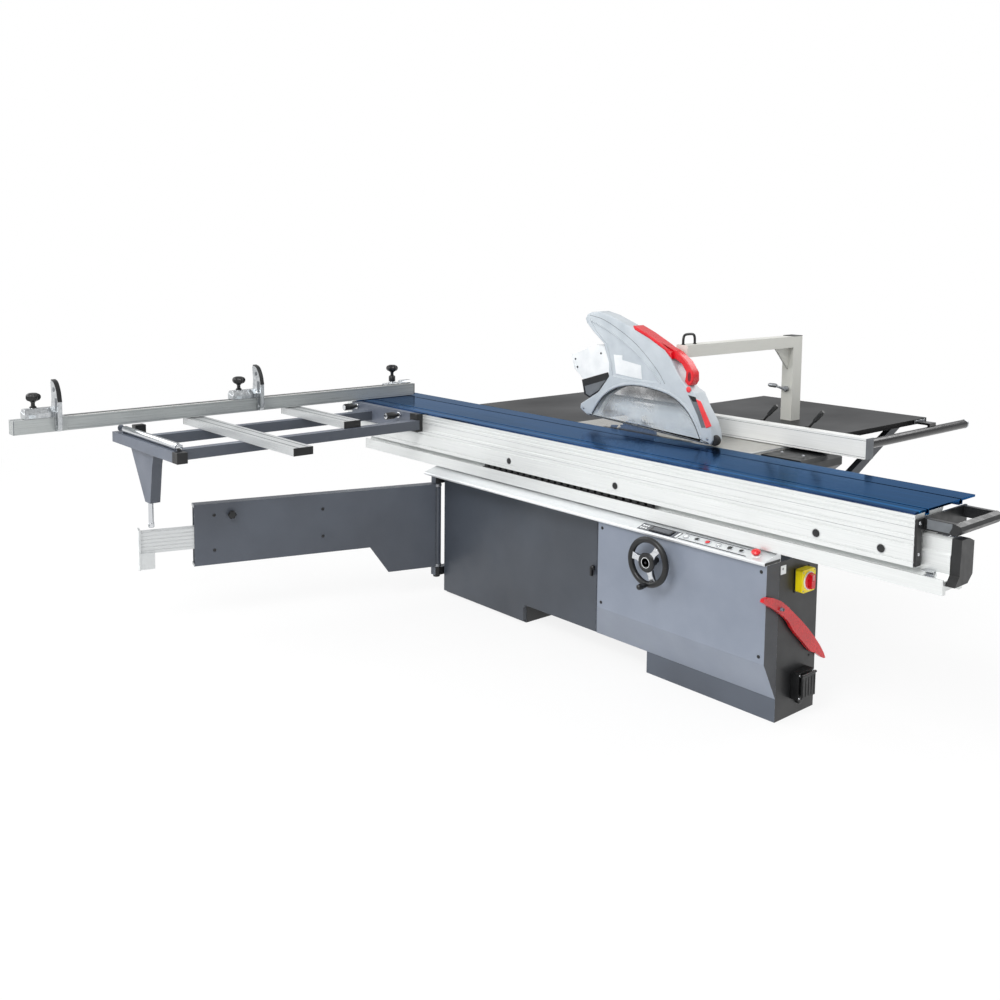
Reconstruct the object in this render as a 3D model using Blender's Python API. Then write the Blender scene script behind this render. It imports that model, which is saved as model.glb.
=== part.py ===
"""Sliding-table panel saw as separate sub-parts.

Metres, +Z up. The machine datum is the floor point under the main blade's
axle: X runs along the sliding table towards the operator's end, Y runs from
the sliding table across the saw to the rip side. The whole machine is then
moved so that the floor point under the middle of its bounding box is the origin.
"""
import math

import bmesh
import bpy
from mathutils import Matrix, Vector

for stale in list(bpy.data.objects):
    bpy.data.objects.remove(stale)

# ---------------------------------------------------------------- driving dimensions
FIT = 0.0004                 # gap between pieces that touch
RUN = 0.002                  # gap beside pieces that slide or turn
SHEET = 0.004                # folded sheet walls

TABLE_HEIGHT = 0.870
TABLE_THICK = 0.040
SHEET_TABLE_THICK = 0.024
TABLE_LEFT = -0.360
TABLE_FRONT = 0.600
TABLE_NEAR = -0.034
MAIN_TABLE_FAR = 0.460
SIDE_TABLE_FAR = 1.420
OUTFEED_LEFT = -1.070
OUTFEED_FAR = 0.800
SIDE_TABLE_FRONT = 0.585

CARRIAGE_LENGTH = 3.200
CARRIAGE_WIDTH = 0.400
CARRIAGE_RIGHT = 1.523
CARRIAGE_FAR = -0.038
TOP_THICK = 0.0074
SKIRT_DROP = 0.176           # table surface to skirt bottom
SKIRT_THICK = 0.034
SLOT_OPENING = 0.010
SLOT_CAVITY = 0.020
SLOT_LIP = 0.005
SLOT_DEPTH = 0.014
SLOT_WALL = 0.0035
NEAR_SLOT_INSET = 0.076
FAR_SLOT_INSET = 0.298
INNER_LEG_INSET = 0.138
INNER_LEG_THICK = 0.030
GROOVE_DEPTH = 0.003
HANDLE_PLATE = 0.008
HANDLE_REACH = 0.120
HANDLE_ARM = 0.018

RAIL_LEFT = -1.509
RAIL_RIGHT = 1.623
RAIL_BOTTOM = 0.627
RAIL_HEIGHT = 0.173
RAIL_WIDTH = 0.126
RAIL_CAP = 0.032
RAIL_CAP_FOOT = 0.030         # end cap stops this far above the foot of the rail
CAGE_LENGTH = 1.020
CAGE_LEFT = -0.580
CAGE_PITCH = 0.040

CABINET_LEFT = -0.891
CABINET_RIGHT = 1.013
CABINET_NEAR = -0.404
CABINET_FAR = -0.162
CABINET_TOP = 0.588
CABINET_SEAM = 0.133
BELLY_HEIGHT = 0.088
LEFT_FOOT_RIGHT = -0.317
PLINTH_LEFT = 0.411
DOOR_THICK = 0.018
COVER_OUT = 0.076
COVER_SIDE = 0.070           # how far the cover's left side leans in
COVER_BOTTOM = 0.231

DOOR_SIDE_GAP = 0.003
DOOR_BOTTOM = 0.012
LATCH_INSET = 0.022          # latch axis from the seam
LATCH_Z = 0.358
FOOT_CHAMFER = 0.014

FASCIA_LEFT = -0.930
FASCIA_OUT = 0.094
FASCIA_DROP = 0.0257
CONTROL_LINE = 0.66          # how far down the slope the controls sit
BUTTONS = {"start_button": 0.640, "stop_button": 0.740, "scorer_button": 0.840}
BUTTON_RADIUS = 0.009
BUTTON_DEEP = 0.007
BUTTON_PROUD = 0.0045
ESTOP_X = 0.955
ESTOP_STEM = 0.008
ESTOP_HEAD = 0.017

SWITCH_Y = -0.266
SWITCH_Z = 0.502
SWITCH_HALF = 0.042
SWITCH_DEPTH = 0.030
SWITCH_KNOB_RADIUS = 0.031
INLET_Y = -0.262
INLET_Z = 0.120
INLET_HALF = 0.048
INLET_DEPTH = 0.032
SOCKET_RADIUS = 0.027
LID_HINGE_Z = 0.158
LID_HALF = 0.042
PEG_Y = -0.415
PEG_Z = 0.425
PEG_RADIUS = 0.006
PEG_LENGTH = 0.030
STICK_THICK = 0.014
STICK_GAP = 0.005            # push stick to the end face

BASE_LEFT = -0.600
BASE_RIGHT = 0.560
BASE_NEAR = -0.158
BASE_FAR = 0.500
BASE_WALL = 0.006
BASE_FLOOR = 0.010
BASE_WINDOW = 0.840          # width of the opening for the saw unit
BASE_NEAR_TOP = 0.780        # near wall stays below the sliding table
BASE_NEAR_STEP = 0.058       # how far back the low part of the walls reaches
BEARER_WIDTH = 0.080
STRUT_BOTTOM = 0.400
STRUT_WIDTH = 0.030
STRUT_DEPTH = 0.060

BLADE_PLANE = -0.022
BLADE_RADIUS = 0.150
BLADE_THICK = 0.0032
BLADE_ABOVE = 0.063
SCORER_RADIUS = 0.060
SCORER_X = 0.235
SCORER_ABOVE = 0.001

HANDWHEEL_X = 0.515
HANDWHEEL_Z = 0.497
HANDWHEEL_RADIUS = 0.096
HANDWHEEL_GAP = 0.018
RIM_HALF = 0.0085
SHAFT_RADIUS = 0.010
SHAFT_INSIDE = 0.160
KNOB_ANGLE = -90.0
SPOKE_ANGLE = 70.0

TRUNNION_LEFT = -0.330
TRUNNION_RIGHT = 0.400
TRUNNION_BOTTOM = 0.440
TRUNNION_SIDE = 0.060
TRUNNION_THICK = 0.012
PLATE_GAP = 0.020            # blade plane to carrier plate
PLATE_THICK = 0.012
PLATE_BOTTOM = 0.530
PLATE_TOP = 0.788
ARBOR_RADIUS = 0.0145
SCORER_ARBOR = 0.010
PULLEY_OFFSET = 0.118        # blade plane to the belt pulleys
PULLEY_WIDTH = 0.022
PULLEY_RADIUS = 0.035
MOTOR_PULLEY_RADIUS = 0.050
BELT_THICK = 0.004
MOTOR_X = -0.060
MOTOR_Z = 0.570
MOTOR_RADIUS = 0.080
MOTOR_OFFSET = 0.150         # blade plane to the motor's near end
MOTOR_LENGTH = 0.170
TEETH = 48
GULLET = 0.009
KNIFE_GAP = 0.006
KNIFE_WIDTH = 0.032
KNIFE_THICK = 0.0025

HINGE_X = -0.915
HINGE_Y = -0.430
HINGE_TUBE_RADIUS = 0.021
HINGE_PIN_RADIUS = 0.012
HINGE_KNUCKLE = 0.040
HINGE_BOTTOM = 0.130
HINGE_TOP = 0.540
LEG_ROD_X = -1.300
LEG_ROD_Y = -1.696
ARM_LENGTH = 1.146
ARM_BOTTOM = 0.265
ARM_THICK = 0.050
INNER_ARM_BOTTOM = 0.343
INNER_ARM_TOP = 0.439
INNER_ARM_THICK = 0.036
INNER_ARM_INSIDE = 0.900
GUSSET_LENGTH = 0.350

FRAME_TOP = 0.835
FRAME_TUBE = 0.045
FRAME_NEAR = -1.735
FRAME_LEFT = -1.610
FRAME_RIGHT = -0.945
LONG_BEAM_NEAR_X = -1.034
LONG_BEAM_FAR_X = -1.420
BRACKET_LEFT = -1.580
BRACKET_RIGHT = -1.020
BRACKET_THICK = 0.035
BRACKET_HEIGHT = 0.088
BAR_WIDTH = 0.090
BAR_HEIGHT = 0.0326
BAR_LEFT = -1.600
BAR_1_RIGHT = -0.605
BAR_2_RIGHT = -1.035
BAR_1_Y = -1.355
BAR_2_Y = -0.835
LEG_BOTTOM = 0.567
ROLLER_RADIUS = 0.0155
ROLLER_PIN = 0.0042
ROLLER_LEFT_INSET = 0.075
ROLLER_RIGHT_INSET = 0.050
CLAMP_X = (-1.528, -1.160)
CLAMP_Z = 0.846
BAR_WALL = 0.004
LEG_FOOT_RADIUS = 0.011

FENCE_FACE = -1.545
FENCE_DEPTH = 0.055
FENCE_HEIGHT = 0.061
FENCE_FAR = -0.100
FENCE_NEAR = -1.957
FENCE_WALL = 0.004
EXTENSION_NEAR = -2.180
TONGUE_LENGTH = 0.650
STOP_LENGTH = 0.120
STOP_HEIGHT = 0.042
STOP_1_Y = -2.070
STOP_2_Y = -1.110
FIN_THICK = 0.018
PIN_RADIUS = 0.005
FENCE_GROOVE = 0.008
TONGUE_GAP = 0.0008

RIP_RAIL_RADIUS = 0.0215
RIP_RAIL_X = 0.655
RIP_RAIL_Z = 0.822
RIP_RAIL_NEAR = -0.030
RIP_RAIL_FAR = 1.675
RIP_FACE = 0.200
RIP_DEPTH = 0.050
RIP_HEIGHT = 0.082
RIP_LEFT = -0.250
RIP_RIGHT = 0.975
RIP_WALL = 0.004
RIP_HEAD_LEFT = 0.400
RIP_HEAD_LENGTH = 0.280
RIP_HEAD_AHEAD = 0.165       # head ahead of the fence face
RIP_HEAD_DROP = 0.0105       # head top below the table, to pass under the sliding table
RIP_BED_GAP = 0.003          # fence bed above the table
RIP_BED_TOP = 0.064
LEVER_X = (0.442, 0.665)
LEVER_TILT = -48.0

GUARD_NEAR = -0.057
GUARD_THICK = 0.070
GUARD_WALL = 0.003
POST_X = 0.205
POST_WIDTH = 0.060
POST_DEPTH = 0.070
POST_NEAR = 0.797
BEAM_TOP = 1.271
BEAM_HEIGHT = 0.052
POST_BOTTOM = 0.550
POST_FOOT = 0.060
BRACE = 0.110
OUTLET_INSET = 0.006

# ---------------------------------------------------------------- derived places
CARRIAGE_LEFT = CARRIAGE_RIGHT - CARRIAGE_LENGTH
CARRIAGE_NEAR = CARRIAGE_FAR - CARRIAGE_WIDTH
SKIRT_BOTTOM = TABLE_HEIGHT - SKIRT_DROP
BODY_TOP = TABLE_HEIGHT - TOP_THICK - FIT
RAIL_NEAR = CARRIAGE_NEAR
RAIL_FAR = RAIL_NEAR + RAIL_WIDTH
RAIL_TOP = RAIL_BOTTOM + RAIL_HEIGHT
TABLE_UNDERSIDE = TABLE_HEIGHT - TABLE_THICK
SHEET_UNDERSIDE = TABLE_HEIGHT - SHEET_TABLE_THICK
BLADE_Z = TABLE_HEIGHT + BLADE_ABOVE - BLADE_RADIUS
SCORER_Z = TABLE_HEIGHT + SCORER_ABOVE - SCORER_RADIUS
COVER_NEAR = CABINET_NEAR - COVER_OUT
FASCIA_TOP = RAIL_BOTTOM - FIT
FASCIA_FAR = CABINET_NEAR + 0.004
FASCIA_NEAR = FASCIA_FAR - FASCIA_OUT
FENCE_BOTTOM = TABLE_HEIGHT + 0.0025
FENCE_TOP = FENCE_BOTTOM + FENCE_HEIGHT
BRACKET_FAR = CARRIAGE_NEAR - FIT
BRACKET_NEAR = BRACKET_FAR - BRACKET_THICK
BRACKET_TOP = TABLE_HEIGHT - 0.005
ARM_DIRECTION = Vector((LEG_ROD_X - HINGE_X, LEG_ROD_Y - HINGE_Y, 0.0)).normalized()
ARM_REACH = Vector((LEG_ROD_X - HINGE_X, LEG_ROD_Y - HINGE_Y, 0.0)).length
ARM_ANGLE = math.atan2(ARM_DIRECTION.y, ARM_DIRECTION.x)
GUARD_FAR = GUARD_NEAR + GUARD_THICK
RIP_BOTTOM = TABLE_HEIGHT + 0.0025
RIP_TOP = RIP_BOTTOM + RIP_HEIGHT
DOOR_LEFT = CABINET_LEFT + DOOR_SIDE_GAP
LATCH_X = CABINET_SEAM - LATCH_INSET
FASCIA_NORMAL = Vector((0.0, -FASCIA_DROP, FASCIA_OUT)).normalized()
FASCIA_MIDDLE_Y = FASCIA_FAR - FASCIA_OUT * CONTROL_LINE
FASCIA_MIDDLE_Z = FASCIA_TOP - FASCIA_DROP * CONTROL_LINE
FIN_PIVOT = (FENCE_FACE - 0.020, FENCE_TOP + 0.030)
PLATE_NEAR = BLADE_PLANE + PLATE_GAP
PLATE_FAR = PLATE_NEAR + PLATE_THICK
PULLEY_NEAR = BLADE_PLANE + PULLEY_OFFSET
PULLEY_FAR = PULLEY_NEAR + PULLEY_WIDTH
MOTOR_TOP = MOTOR_Z + MOTOR_RADIUS + 0.005
MOTOR_NEAR = BLADE_PLANE + MOTOR_OFFSET
MOTOR_FAR = MOTOR_NEAR + MOTOR_LENGTH

# ---------------------------------------------------------------- materials


def linear(channel):
    """Linear value of an 8-bit sRGB channel."""
    value = channel / 255.0
    return value / 12.92 if value <= 0.04045 else ((value + 0.055) / 1.055) ** 2.4


def material(name, rgb, metallic=0.0, roughness=0.5, alpha=1.0):
    found = bpy.data.materials.get(name)
    if found:
        return found
    made = bpy.data.materials.new(name)
    made.use_nodes = True
    shader = made.node_tree.nodes["Principled BSDF"]
    shader.inputs["Base Color"].default_value = (*[linear(c) for c in rgb], 1.0)
    shader.inputs["Metallic"].default_value = metallic
    shader.inputs["Roughness"].default_value = roughness
    shader.inputs["Alpha"].default_value = alpha
    made.diffuse_color = (*[linear(c) for c in rgb], alpha)
    return made


def finish(name):
    """The part's finishes by name."""
    table = {
        "slate": ((110, 118, 131), 0.1, 0.45, 1.0),
        "dark_slate": ((74, 80, 90), 0.1, 0.5, 1.0),
        "aluminium": ((222, 224, 226), 0.9, 0.35, 1.0),
        "blue_anodised": ((36, 74, 128), 0.8, 0.15, 1.0),
        "black_plastic": ((28, 29, 31), 0.0, 0.45, 1.0),
        "cast_iron": ((176, 174, 168), 0.8, 0.3, 1.0),
        "black_table": ((44, 47, 49), 0.2, 0.4, 1.0),
        "steel": ((150, 152, 155), 0.9, 0.35, 1.0),
        "chrome": ((215, 217, 220), 1.0, 0.12, 1.0),
        "red_plastic": ((226, 28, 44), 0.0, 0.35, 1.0),
        "yellow_plastic": ((250, 226, 30), 0.0, 0.4, 1.0),
        "guard_grey": ((196, 205, 210), 0.0, 0.4, 1.0),
        "clear_plastic": ((225, 235, 240), 0.0, 0.05, 0.3),
        "beam_paint": ((196, 195, 189), 0.0, 0.5, 1.0),
        "white_paint": ((224, 226, 226), 0.0, 0.45, 1.0),
        "rubber": ((24, 24, 25), 0.0, 0.8, 1.0),
    }
    rgb, metallic, roughness, alpha = table[name]
    return material(name, rgb, metallic, roughness, alpha)


# ---------------------------------------------------------------- modelling tools
PLACE = {
    "X": lambda u, v, w: Vector((w, u, v)),
    "Y": lambda u, v, w: Vector((u, w, v)),
    "Z": lambda u, v, w: Vector((u, v, w)),
}
TURN = {
    "X": lambda r, a, t: Vector((t, r * math.cos(a), r * math.sin(a))),
    "Y": lambda r, a, t: Vector((r * math.sin(a), t, r * math.cos(a))),
    "Z": lambda r, a, t: Vector((r * math.cos(a), r * math.sin(a), t)),
}


def prism(outline, axis, start, end):
    """Solid with a flat outline, (y, z), (x, z) or (x, y), pulled along X, Y or Z."""
    solid = bmesh.new()
    place = PLACE[axis]
    low = [solid.verts.new(place(u, v, start)) for u, v in outline]
    high = [solid.verts.new(place(u, v, end)) for u, v in outline]
    solid.faces.new(low)
    solid.faces.new(high)
    for index in range(len(outline)):
        after = (index + 1) % len(outline)
        solid.faces.new((low[index], low[after], high[after], high[index]))
    bmesh.ops.recalc_face_normals(solid, faces=solid.faces)
    return solid


def rectangle(low, high):
    return [(low[0], low[1]), (high[0], low[1]), (high[0], high[1]), (low[0], high[1])]


def block(low, high):
    """Box between two corners."""
    return prism(rectangle(low[:2], high[:2]), "Z", low[2], high[2])


def turned(profile, axis, centre, sides=24):
    """Solid of revolution of (radius, distance) points from one end to the other."""
    solid = bmesh.new()
    turn = TURN[axis]
    centre = Vector(centre)
    rings = []
    for radius, along in profile:
        count = sides if radius > 0 else 1
        rings.append([solid.verts.new(centre + turn(radius, 2 * math.pi * k / sides,
                                                    along)) for k in range(count)])
    for first, second in zip(rings, rings[1:]):
        for k in range(sides):
            after = (k + 1) % sides
            corners = [first[k % len(first)], first[after % len(first)],
                       second[after % len(second)], second[k % len(second)]]
            face = list(dict.fromkeys(corners))
            if len(face) > 2:
                solid.faces.new(face)
    for ring in (rings[0], rings[-1]):
        if len(ring) > 1:
            solid.faces.new(ring)
    bmesh.ops.recalc_face_normals(solid, faces=solid.faces)
    return solid


def ring(section, axis, centre, sides=24):
    """Closed ring from a closed (radius, distance) section."""
    solid = bmesh.new()
    turn = TURN[axis]
    centre = Vector(centre)
    rings = [[solid.verts.new(centre + turn(r, 2 * math.pi * k / sides, t)) for k in range(sides)] for r,
             t in section]
    for first, second in zip(rings, rings[1:] + rings[:1]):
        for k in range(sides):
            after = (k + 1) % sides
            solid.faces.new((first[k], first[after], second[after], second[k]))
    bmesh.ops.recalc_face_normals(solid, faces=solid.faces)
    return solid


def rod(radius, axis, centre, start, end, sides=20):
    return turned([(radius, start), (radius, end)], axis, centre, sides)


def arc(centre, radius, first, last, steps):
    """Points on a circle from one angle to another, in degrees."""
    angles = [math.radians(first + (last - first) * k / steps) for k in range(steps + 1)]
    return [(centre[0] + radius * math.cos(a), centre[1] + radius * math.sin(a)) for a in angles]


def smooth(points, steps, closed=True):
    """Points on a Catmull-Rom curve through the given points."""
    count = len(points)
    out = []
    for i in range(count if closed else count - 1):
        p = [Vector(points[(i + k) % count] if closed else points[min(max(i + k, 0), count - 1)])
             for k in (-1, 0, 1, 2)]
        for s in range(steps):
            t = s / steps
            out.append(tuple(0.5 * (2 * p[1] + (p[2] - p[0]) * t
                                    + (2 * p[0] - 5 * p[1] + 4 * p[2] - p[3]) * t * t
                                    + (3 * p[1] - p[0] - 3 * p[2] + p[3]) * t ** 3)))
    if not closed:
        out.append(tuple(points[-1]))
    return out


def inset(outline, distance):
    """The outline moved inwards by a distance."""
    area = sum(a[0] * b[1] - b[0] * a[1] for a, b in zip(outline, outline[1:] + outline[:1]))
    side = 1 if area > 0 else -1
    moved = []
    for i, here in enumerate(outline):
        before = Vector(outline[i - 1])
        after = Vector(outline[(i + 1) % len(outline)])
        here = Vector(here)
        first = (here - before).normalized()
        second = (after - here).normalized()
        normal = Vector((-(first.y + second.y), first.x + second.x)) * side
        scale = distance / max(0.35, normal.length / 2)
        moved.append(tuple(here + normal.normalized() * scale))
    return moved


def stand(solid, matrix):
    bmesh.ops.transform(solid, matrix=matrix, verts=solid.verts)
    return solid


def to_object(name, solid):
    mesh = bpy.data.meshes.new(name)
    solid.to_mesh(mesh)
    solid.free()
    made = bpy.data.objects.new(name, mesh)
    bpy.context.scene.collection.objects.link(made)
    return made


def shape(name, solid, finish_name, add=(), cut=(), pivot=(0.0, 0.0, 0.0)):
    """One named sub-part: a first solid with others joined to it and cut from it."""
    made = to_object(name, solid)
    for operation, tools in (("UNION", add), ("DIFFERENCE", cut)):
        for number, tool_solid in enumerate(tools):
            tool = to_object(f"{name}_tool", tool_solid)
            change = made.modifiers.new(f"{operation}_{number}", "BOOLEAN")
            change.operation = operation
            change.object = tool
            bpy.context.view_layer.update()
            result = bpy.data.meshes.new_from_object(
                made.evaluated_get(bpy.context.evaluated_depsgraph_get()))
            made.modifiers.clear()
            made.data = result
            bpy.data.objects.remove(tool)
    clean = bmesh.new()
    clean.from_mesh(made.data)
    bmesh.ops.remove_doubles(clean, verts=clean.verts, dist=1e-6)
    bmesh.ops.dissolve_limit(clean, angle_limit=math.radians(0.1), verts=clean.verts, edges=clean.edges)
    bmesh.ops.triangulate(clean, faces=clean.faces)
    bmesh.ops.translate(clean, verts=clean.verts, vec=-Vector(pivot))
    clean.to_mesh(made.data)
    clean.free()
    made.name = name
    made.data.name = name
    made.data.materials.clear()
    made.data.materials.append(finish(finish_name))
    made.data.shade_smooth()
    made.data.set_sharp_from_angle(angle=math.radians(30))
    made.location = pivot
    return made


# ---------------------------------------------------------------- fixed machine


def make_base():
    """Welded base box with rail bearers and struts for the sheet tables."""
    top = TABLE_UNDERSIDE - FIT
    shell = block((BASE_LEFT, BASE_NEAR, 0.0), (BASE_RIGHT, BASE_FAR, top))
    hollow = block((BASE_LEFT + BASE_WALL, BASE_NEAR + BASE_WALL, BASE_FLOOR),
                   (BASE_RIGHT - BASE_WALL, BASE_FAR - BASE_WALL, TABLE_HEIGHT))
    window = block((-BASE_WINDOW / 2, BASE_NEAR - 0.05, BELLY_HEIGHT),
                   (BASE_WINDOW / 2, BASE_NEAR + 0.05, TABLE_HEIGHT))
    step = block((BASE_LEFT - 0.05, BASE_NEAR - 0.05, BASE_NEAR_TOP),
                 (BASE_RIGHT + 0.05, BASE_NEAR + BASE_NEAR_STEP, TABLE_HEIGHT))
    bearers = [block((x, CABINET_NEAR + 0.012, CABINET_TOP + RUN),
                     (x + BEARER_WIDTH, BASE_NEAR + BASE_WALL / 2, RAIL_BOTTOM - FIT))
               for x in (BASE_LEFT + 0.03, BASE_RIGHT - 0.03 - BEARER_WIDTH)]
    strut_top = SHEET_UNDERSIDE - FIT
    far_wall = BASE_FAR - BASE_WALL / 2
    left_wall = BASE_LEFT + BASE_WALL / 2
    side_strut = [(far_wall, STRUT_BOTTOM + STRUT_DEPTH), (far_wall, STRUT_BOTTOM),
                  (SIDE_TABLE_FAR - 0.04, strut_top), (SIDE_TABLE_FAR - 0.12, strut_top)]
    out_strut = [(left_wall, STRUT_BOTTOM + STRUT_DEPTH), (left_wall, STRUT_BOTTOM),
                 (OUTFEED_LEFT + 0.04, strut_top), (OUTFEED_LEFT + 0.12, strut_top)]
    struts = [prism(side_strut, "X", x, x + STRUT_WIDTH) for x in (TABLE_LEFT + 0.06, BASE_RIGHT - 0.09)]
    struts += [prism(out_strut, "Y", y, y + STRUT_WIDTH) for y in (0.05, MAIN_TABLE_FAR - 0.04)]
    shape("base_frame", shell, "dark_slate", add=bearers + struts, cut=[hollow, window, step])


def make_hinge():
    """Pin, two ears and spine that carry the swing arm on the cabinet's end wall."""
    low, high = HINGE_BOTTOM - HINGE_KNUCKLE, HINGE_TOP + HINGE_KNUCKLE
    wall = CABINET_LEFT + SHEET / 2
    near = CABINET_NEAR + DOOR_THICK + 0.012
    pin = rod(HINGE_PIN_RADIUS, "Z", (HINGE_X, HINGE_Y, 0), low, high, 18)
    ear = [(HINGE_X - 0.020, HINGE_Y - 0.018), (HINGE_X + 0.014, HINGE_Y - 0.018),
           (HINGE_X + 0.020, HINGE_Y), (CABINET_LEFT - 0.003, near), (wall, near), (wall, near + 0.058),
           (HINGE_X - 0.010, near + 0.058)]
    ears = [prism(ear, "Z", start, start + HINGE_KNUCKLE - RUN) for start in (low, HINGE_TOP + RUN)]
    spine = block((CABINET_LEFT - 0.016, near + 0.004, low), (wall, near + 0.054, high))
    return [pin, spine] + ears


def make_cabinet():
    """Near cabinet on two feet, open where the door, the cover and the saw unit are."""
    outline = [(CABINET_LEFT, 0.0), (LEFT_FOOT_RIGHT, 0.0), (LEFT_FOOT_RIGHT, BELLY_HEIGHT - FOOT_CHAMFER),
               (LEFT_FOOT_RIGHT + FOOT_CHAMFER, BELLY_HEIGHT), (PLINTH_LEFT, BELLY_HEIGHT), (PLINTH_LEFT,
                                                                                             0.0),
               (CABINET_RIGHT, 0.0), (CABINET_RIGHT, CABINET_TOP), (CABINET_LEFT, CABINET_TOP)]
    shell = prism(outline, "Y", CABINET_NEAR, CABINET_FAR)
    ahead = CABINET_NEAR - 0.1
    door_room = block((CABINET_LEFT - RUN, ahead, -0.1),
                      (CABINET_SEAM - SHEET / 2, CABINET_NEAR + DOOR_THICK + RUN, CABINET_TOP + 0.1))
    back = CABINET_FAR - SHEET
    left_bay = block((CABINET_LEFT + SHEET, ahead, BELLY_HEIGHT + SHEET),
                     (CABINET_SEAM - SHEET, back, CABINET_TOP - SHEET))
    left_foot = block((CABINET_LEFT + SHEET, ahead, SHEET),
                      (LEFT_FOOT_RIGHT - SHEET, back, BELLY_HEIGHT + 0.02))
    right_bay = block((CABINET_SEAM + SHEET, ahead, BELLY_HEIGHT + SHEET),
                      (CABINET_RIGHT - SHEET, back, CABINET_TOP - SHEET))
    plinth = block((PLINTH_LEFT + SHEET, CABINET_NEAR + SHEET, SHEET),
                   (CABINET_RIGHT - SHEET, back, BELLY_HEIGHT + 0.02))
    swing_room = block((-BASE_WINDOW / 2, CABINET_NEAR + 0.03, 0.28),
                       (BASE_WINDOW / 2, CABINET_FAR + 0.05, CABINET_TOP + 0.05))
    shape("cabinet_shell", shell, "dark_slate", add=make_hinge(),
          cut=[door_room, left_bay, left_foot, right_bay, plinth, swing_room])


def make_cover():
    """Bolted front cover: a folded pan with a sloped skirt down to the plinth."""
    back = CABINET_NEAR - FIT
    low = BELLY_HEIGHT - 0.001
    top = CABINET_TOP
    outline = [(back, top), (COVER_NEAR, top), (COVER_NEAR, COVER_BOTTOM), (back, low)]
    inner = [(back + 0.05, top - SHEET), (COVER_NEAR + SHEET, top - SHEET),
             (COVER_NEAR + SHEET, COVER_BOTTOM + 0.001), (back, low + 0.008), (back + 0.05, low + 0.008)]
    left = CABINET_SEAM + SHEET
    front_left = left + COVER_SIDE
    right = CABINET_RIGHT - SHEET
    lean = prism([(left - 0.01, back + 0.01), (left, back), (front_left, COVER_NEAR),
                  (front_left + SHEET, COVER_NEAR - 0.01), (left - 0.01,
                                                            COVER_NEAR - 0.01)], "Z", 0.0, top + 0.01)
    upper_room = prism([(left + SHEET * 2, back + 0.05), (left + SHEET * 2, back),
                        (front_left + SHEET, COVER_NEAR + SHEET), (right, COVER_NEAR + SHEET), (right,
                                                                                                back + 0.05)],
                       "Z", COVER_BOTTOM + SHEET, top - SHEET)
    hole = rod(SHAFT_RADIUS + RUN, "Y", (HANDWHEEL_X, 0.0, HANDWHEEL_Z), COVER_NEAR - 0.05,
               COVER_NEAR + 0.05, 20)
    peg = rod(PEG_RADIUS, "X", (0.0, PEG_Y, PEG_Z), CABINET_RIGHT - SHEET / 2, CABINET_RIGHT + PEG_LENGTH, 12)
    shape("front_cover", prism(outline, "X", left, CABINET_RIGHT), "slate", add=[peg],
          cut=[prism(inner, "X", front_left + SHEET, right), upper_room, lean, hole])


def make_door():
    """Cabinet door, which also closes the left foot."""
    right = CABINET_SEAM - SHEET
    outline = [(DOOR_LEFT, DOOR_BOTTOM), (LEFT_FOOT_RIGHT, DOOR_BOTTOM),
               (LEFT_FOOT_RIGHT, BELLY_HEIGHT - FOOT_CHAMFER),
               (LEFT_FOOT_RIGHT + FOOT_CHAMFER, BELLY_HEIGHT), (right, BELLY_HEIGHT),
               (right, CABINET_TOP - RUN), (DOOR_LEFT, CABINET_TOP - RUN)]
    back = CABINET_NEAR + DOOR_THICK
    pan = prism(outline, "Y", CABINET_NEAR, back)
    hollow = prism(inset(outline, SHEET), "Y", CABINET_NEAR + SHEET, back + 0.05)
    shape("cabinet_door", pan, "dark_slate", cut=[hollow], pivot=(DOOR_LEFT, CABINET_NEAR, 0.0))
    centre = (LATCH_X, 0.0, LATCH_Z)
    face = CABINET_NEAR - FIT
    boss = turned([(0.010, face), (0.010, face - 0.010), (0.006, face - 0.014)], "Y", centre, 16)
    lever = block((LATCH_X - 0.005, face - 0.018, LATCH_Z - 0.032),
                  (LATCH_X + 0.005, face - 0.006, LATCH_Z + 0.004))
    shape("door_latch", boss, "black_plastic", add=[lever], pivot=(LATCH_X, face, LATCH_Z))


def fascia_point(x):
    return Vector((x, FASCIA_MIDDLE_Y, FASCIA_MIDDLE_Z))


def on_fascia(solid, x):
    """Stand a solid made about the Z axis on the sloped fascia."""
    turn = Vector((0, 0, 1)).rotation_difference(FASCIA_NORMAL).to_matrix().to_4x4()
    return stand(solid, Matrix.Translation(fascia_point(x)) @ turn)


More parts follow.
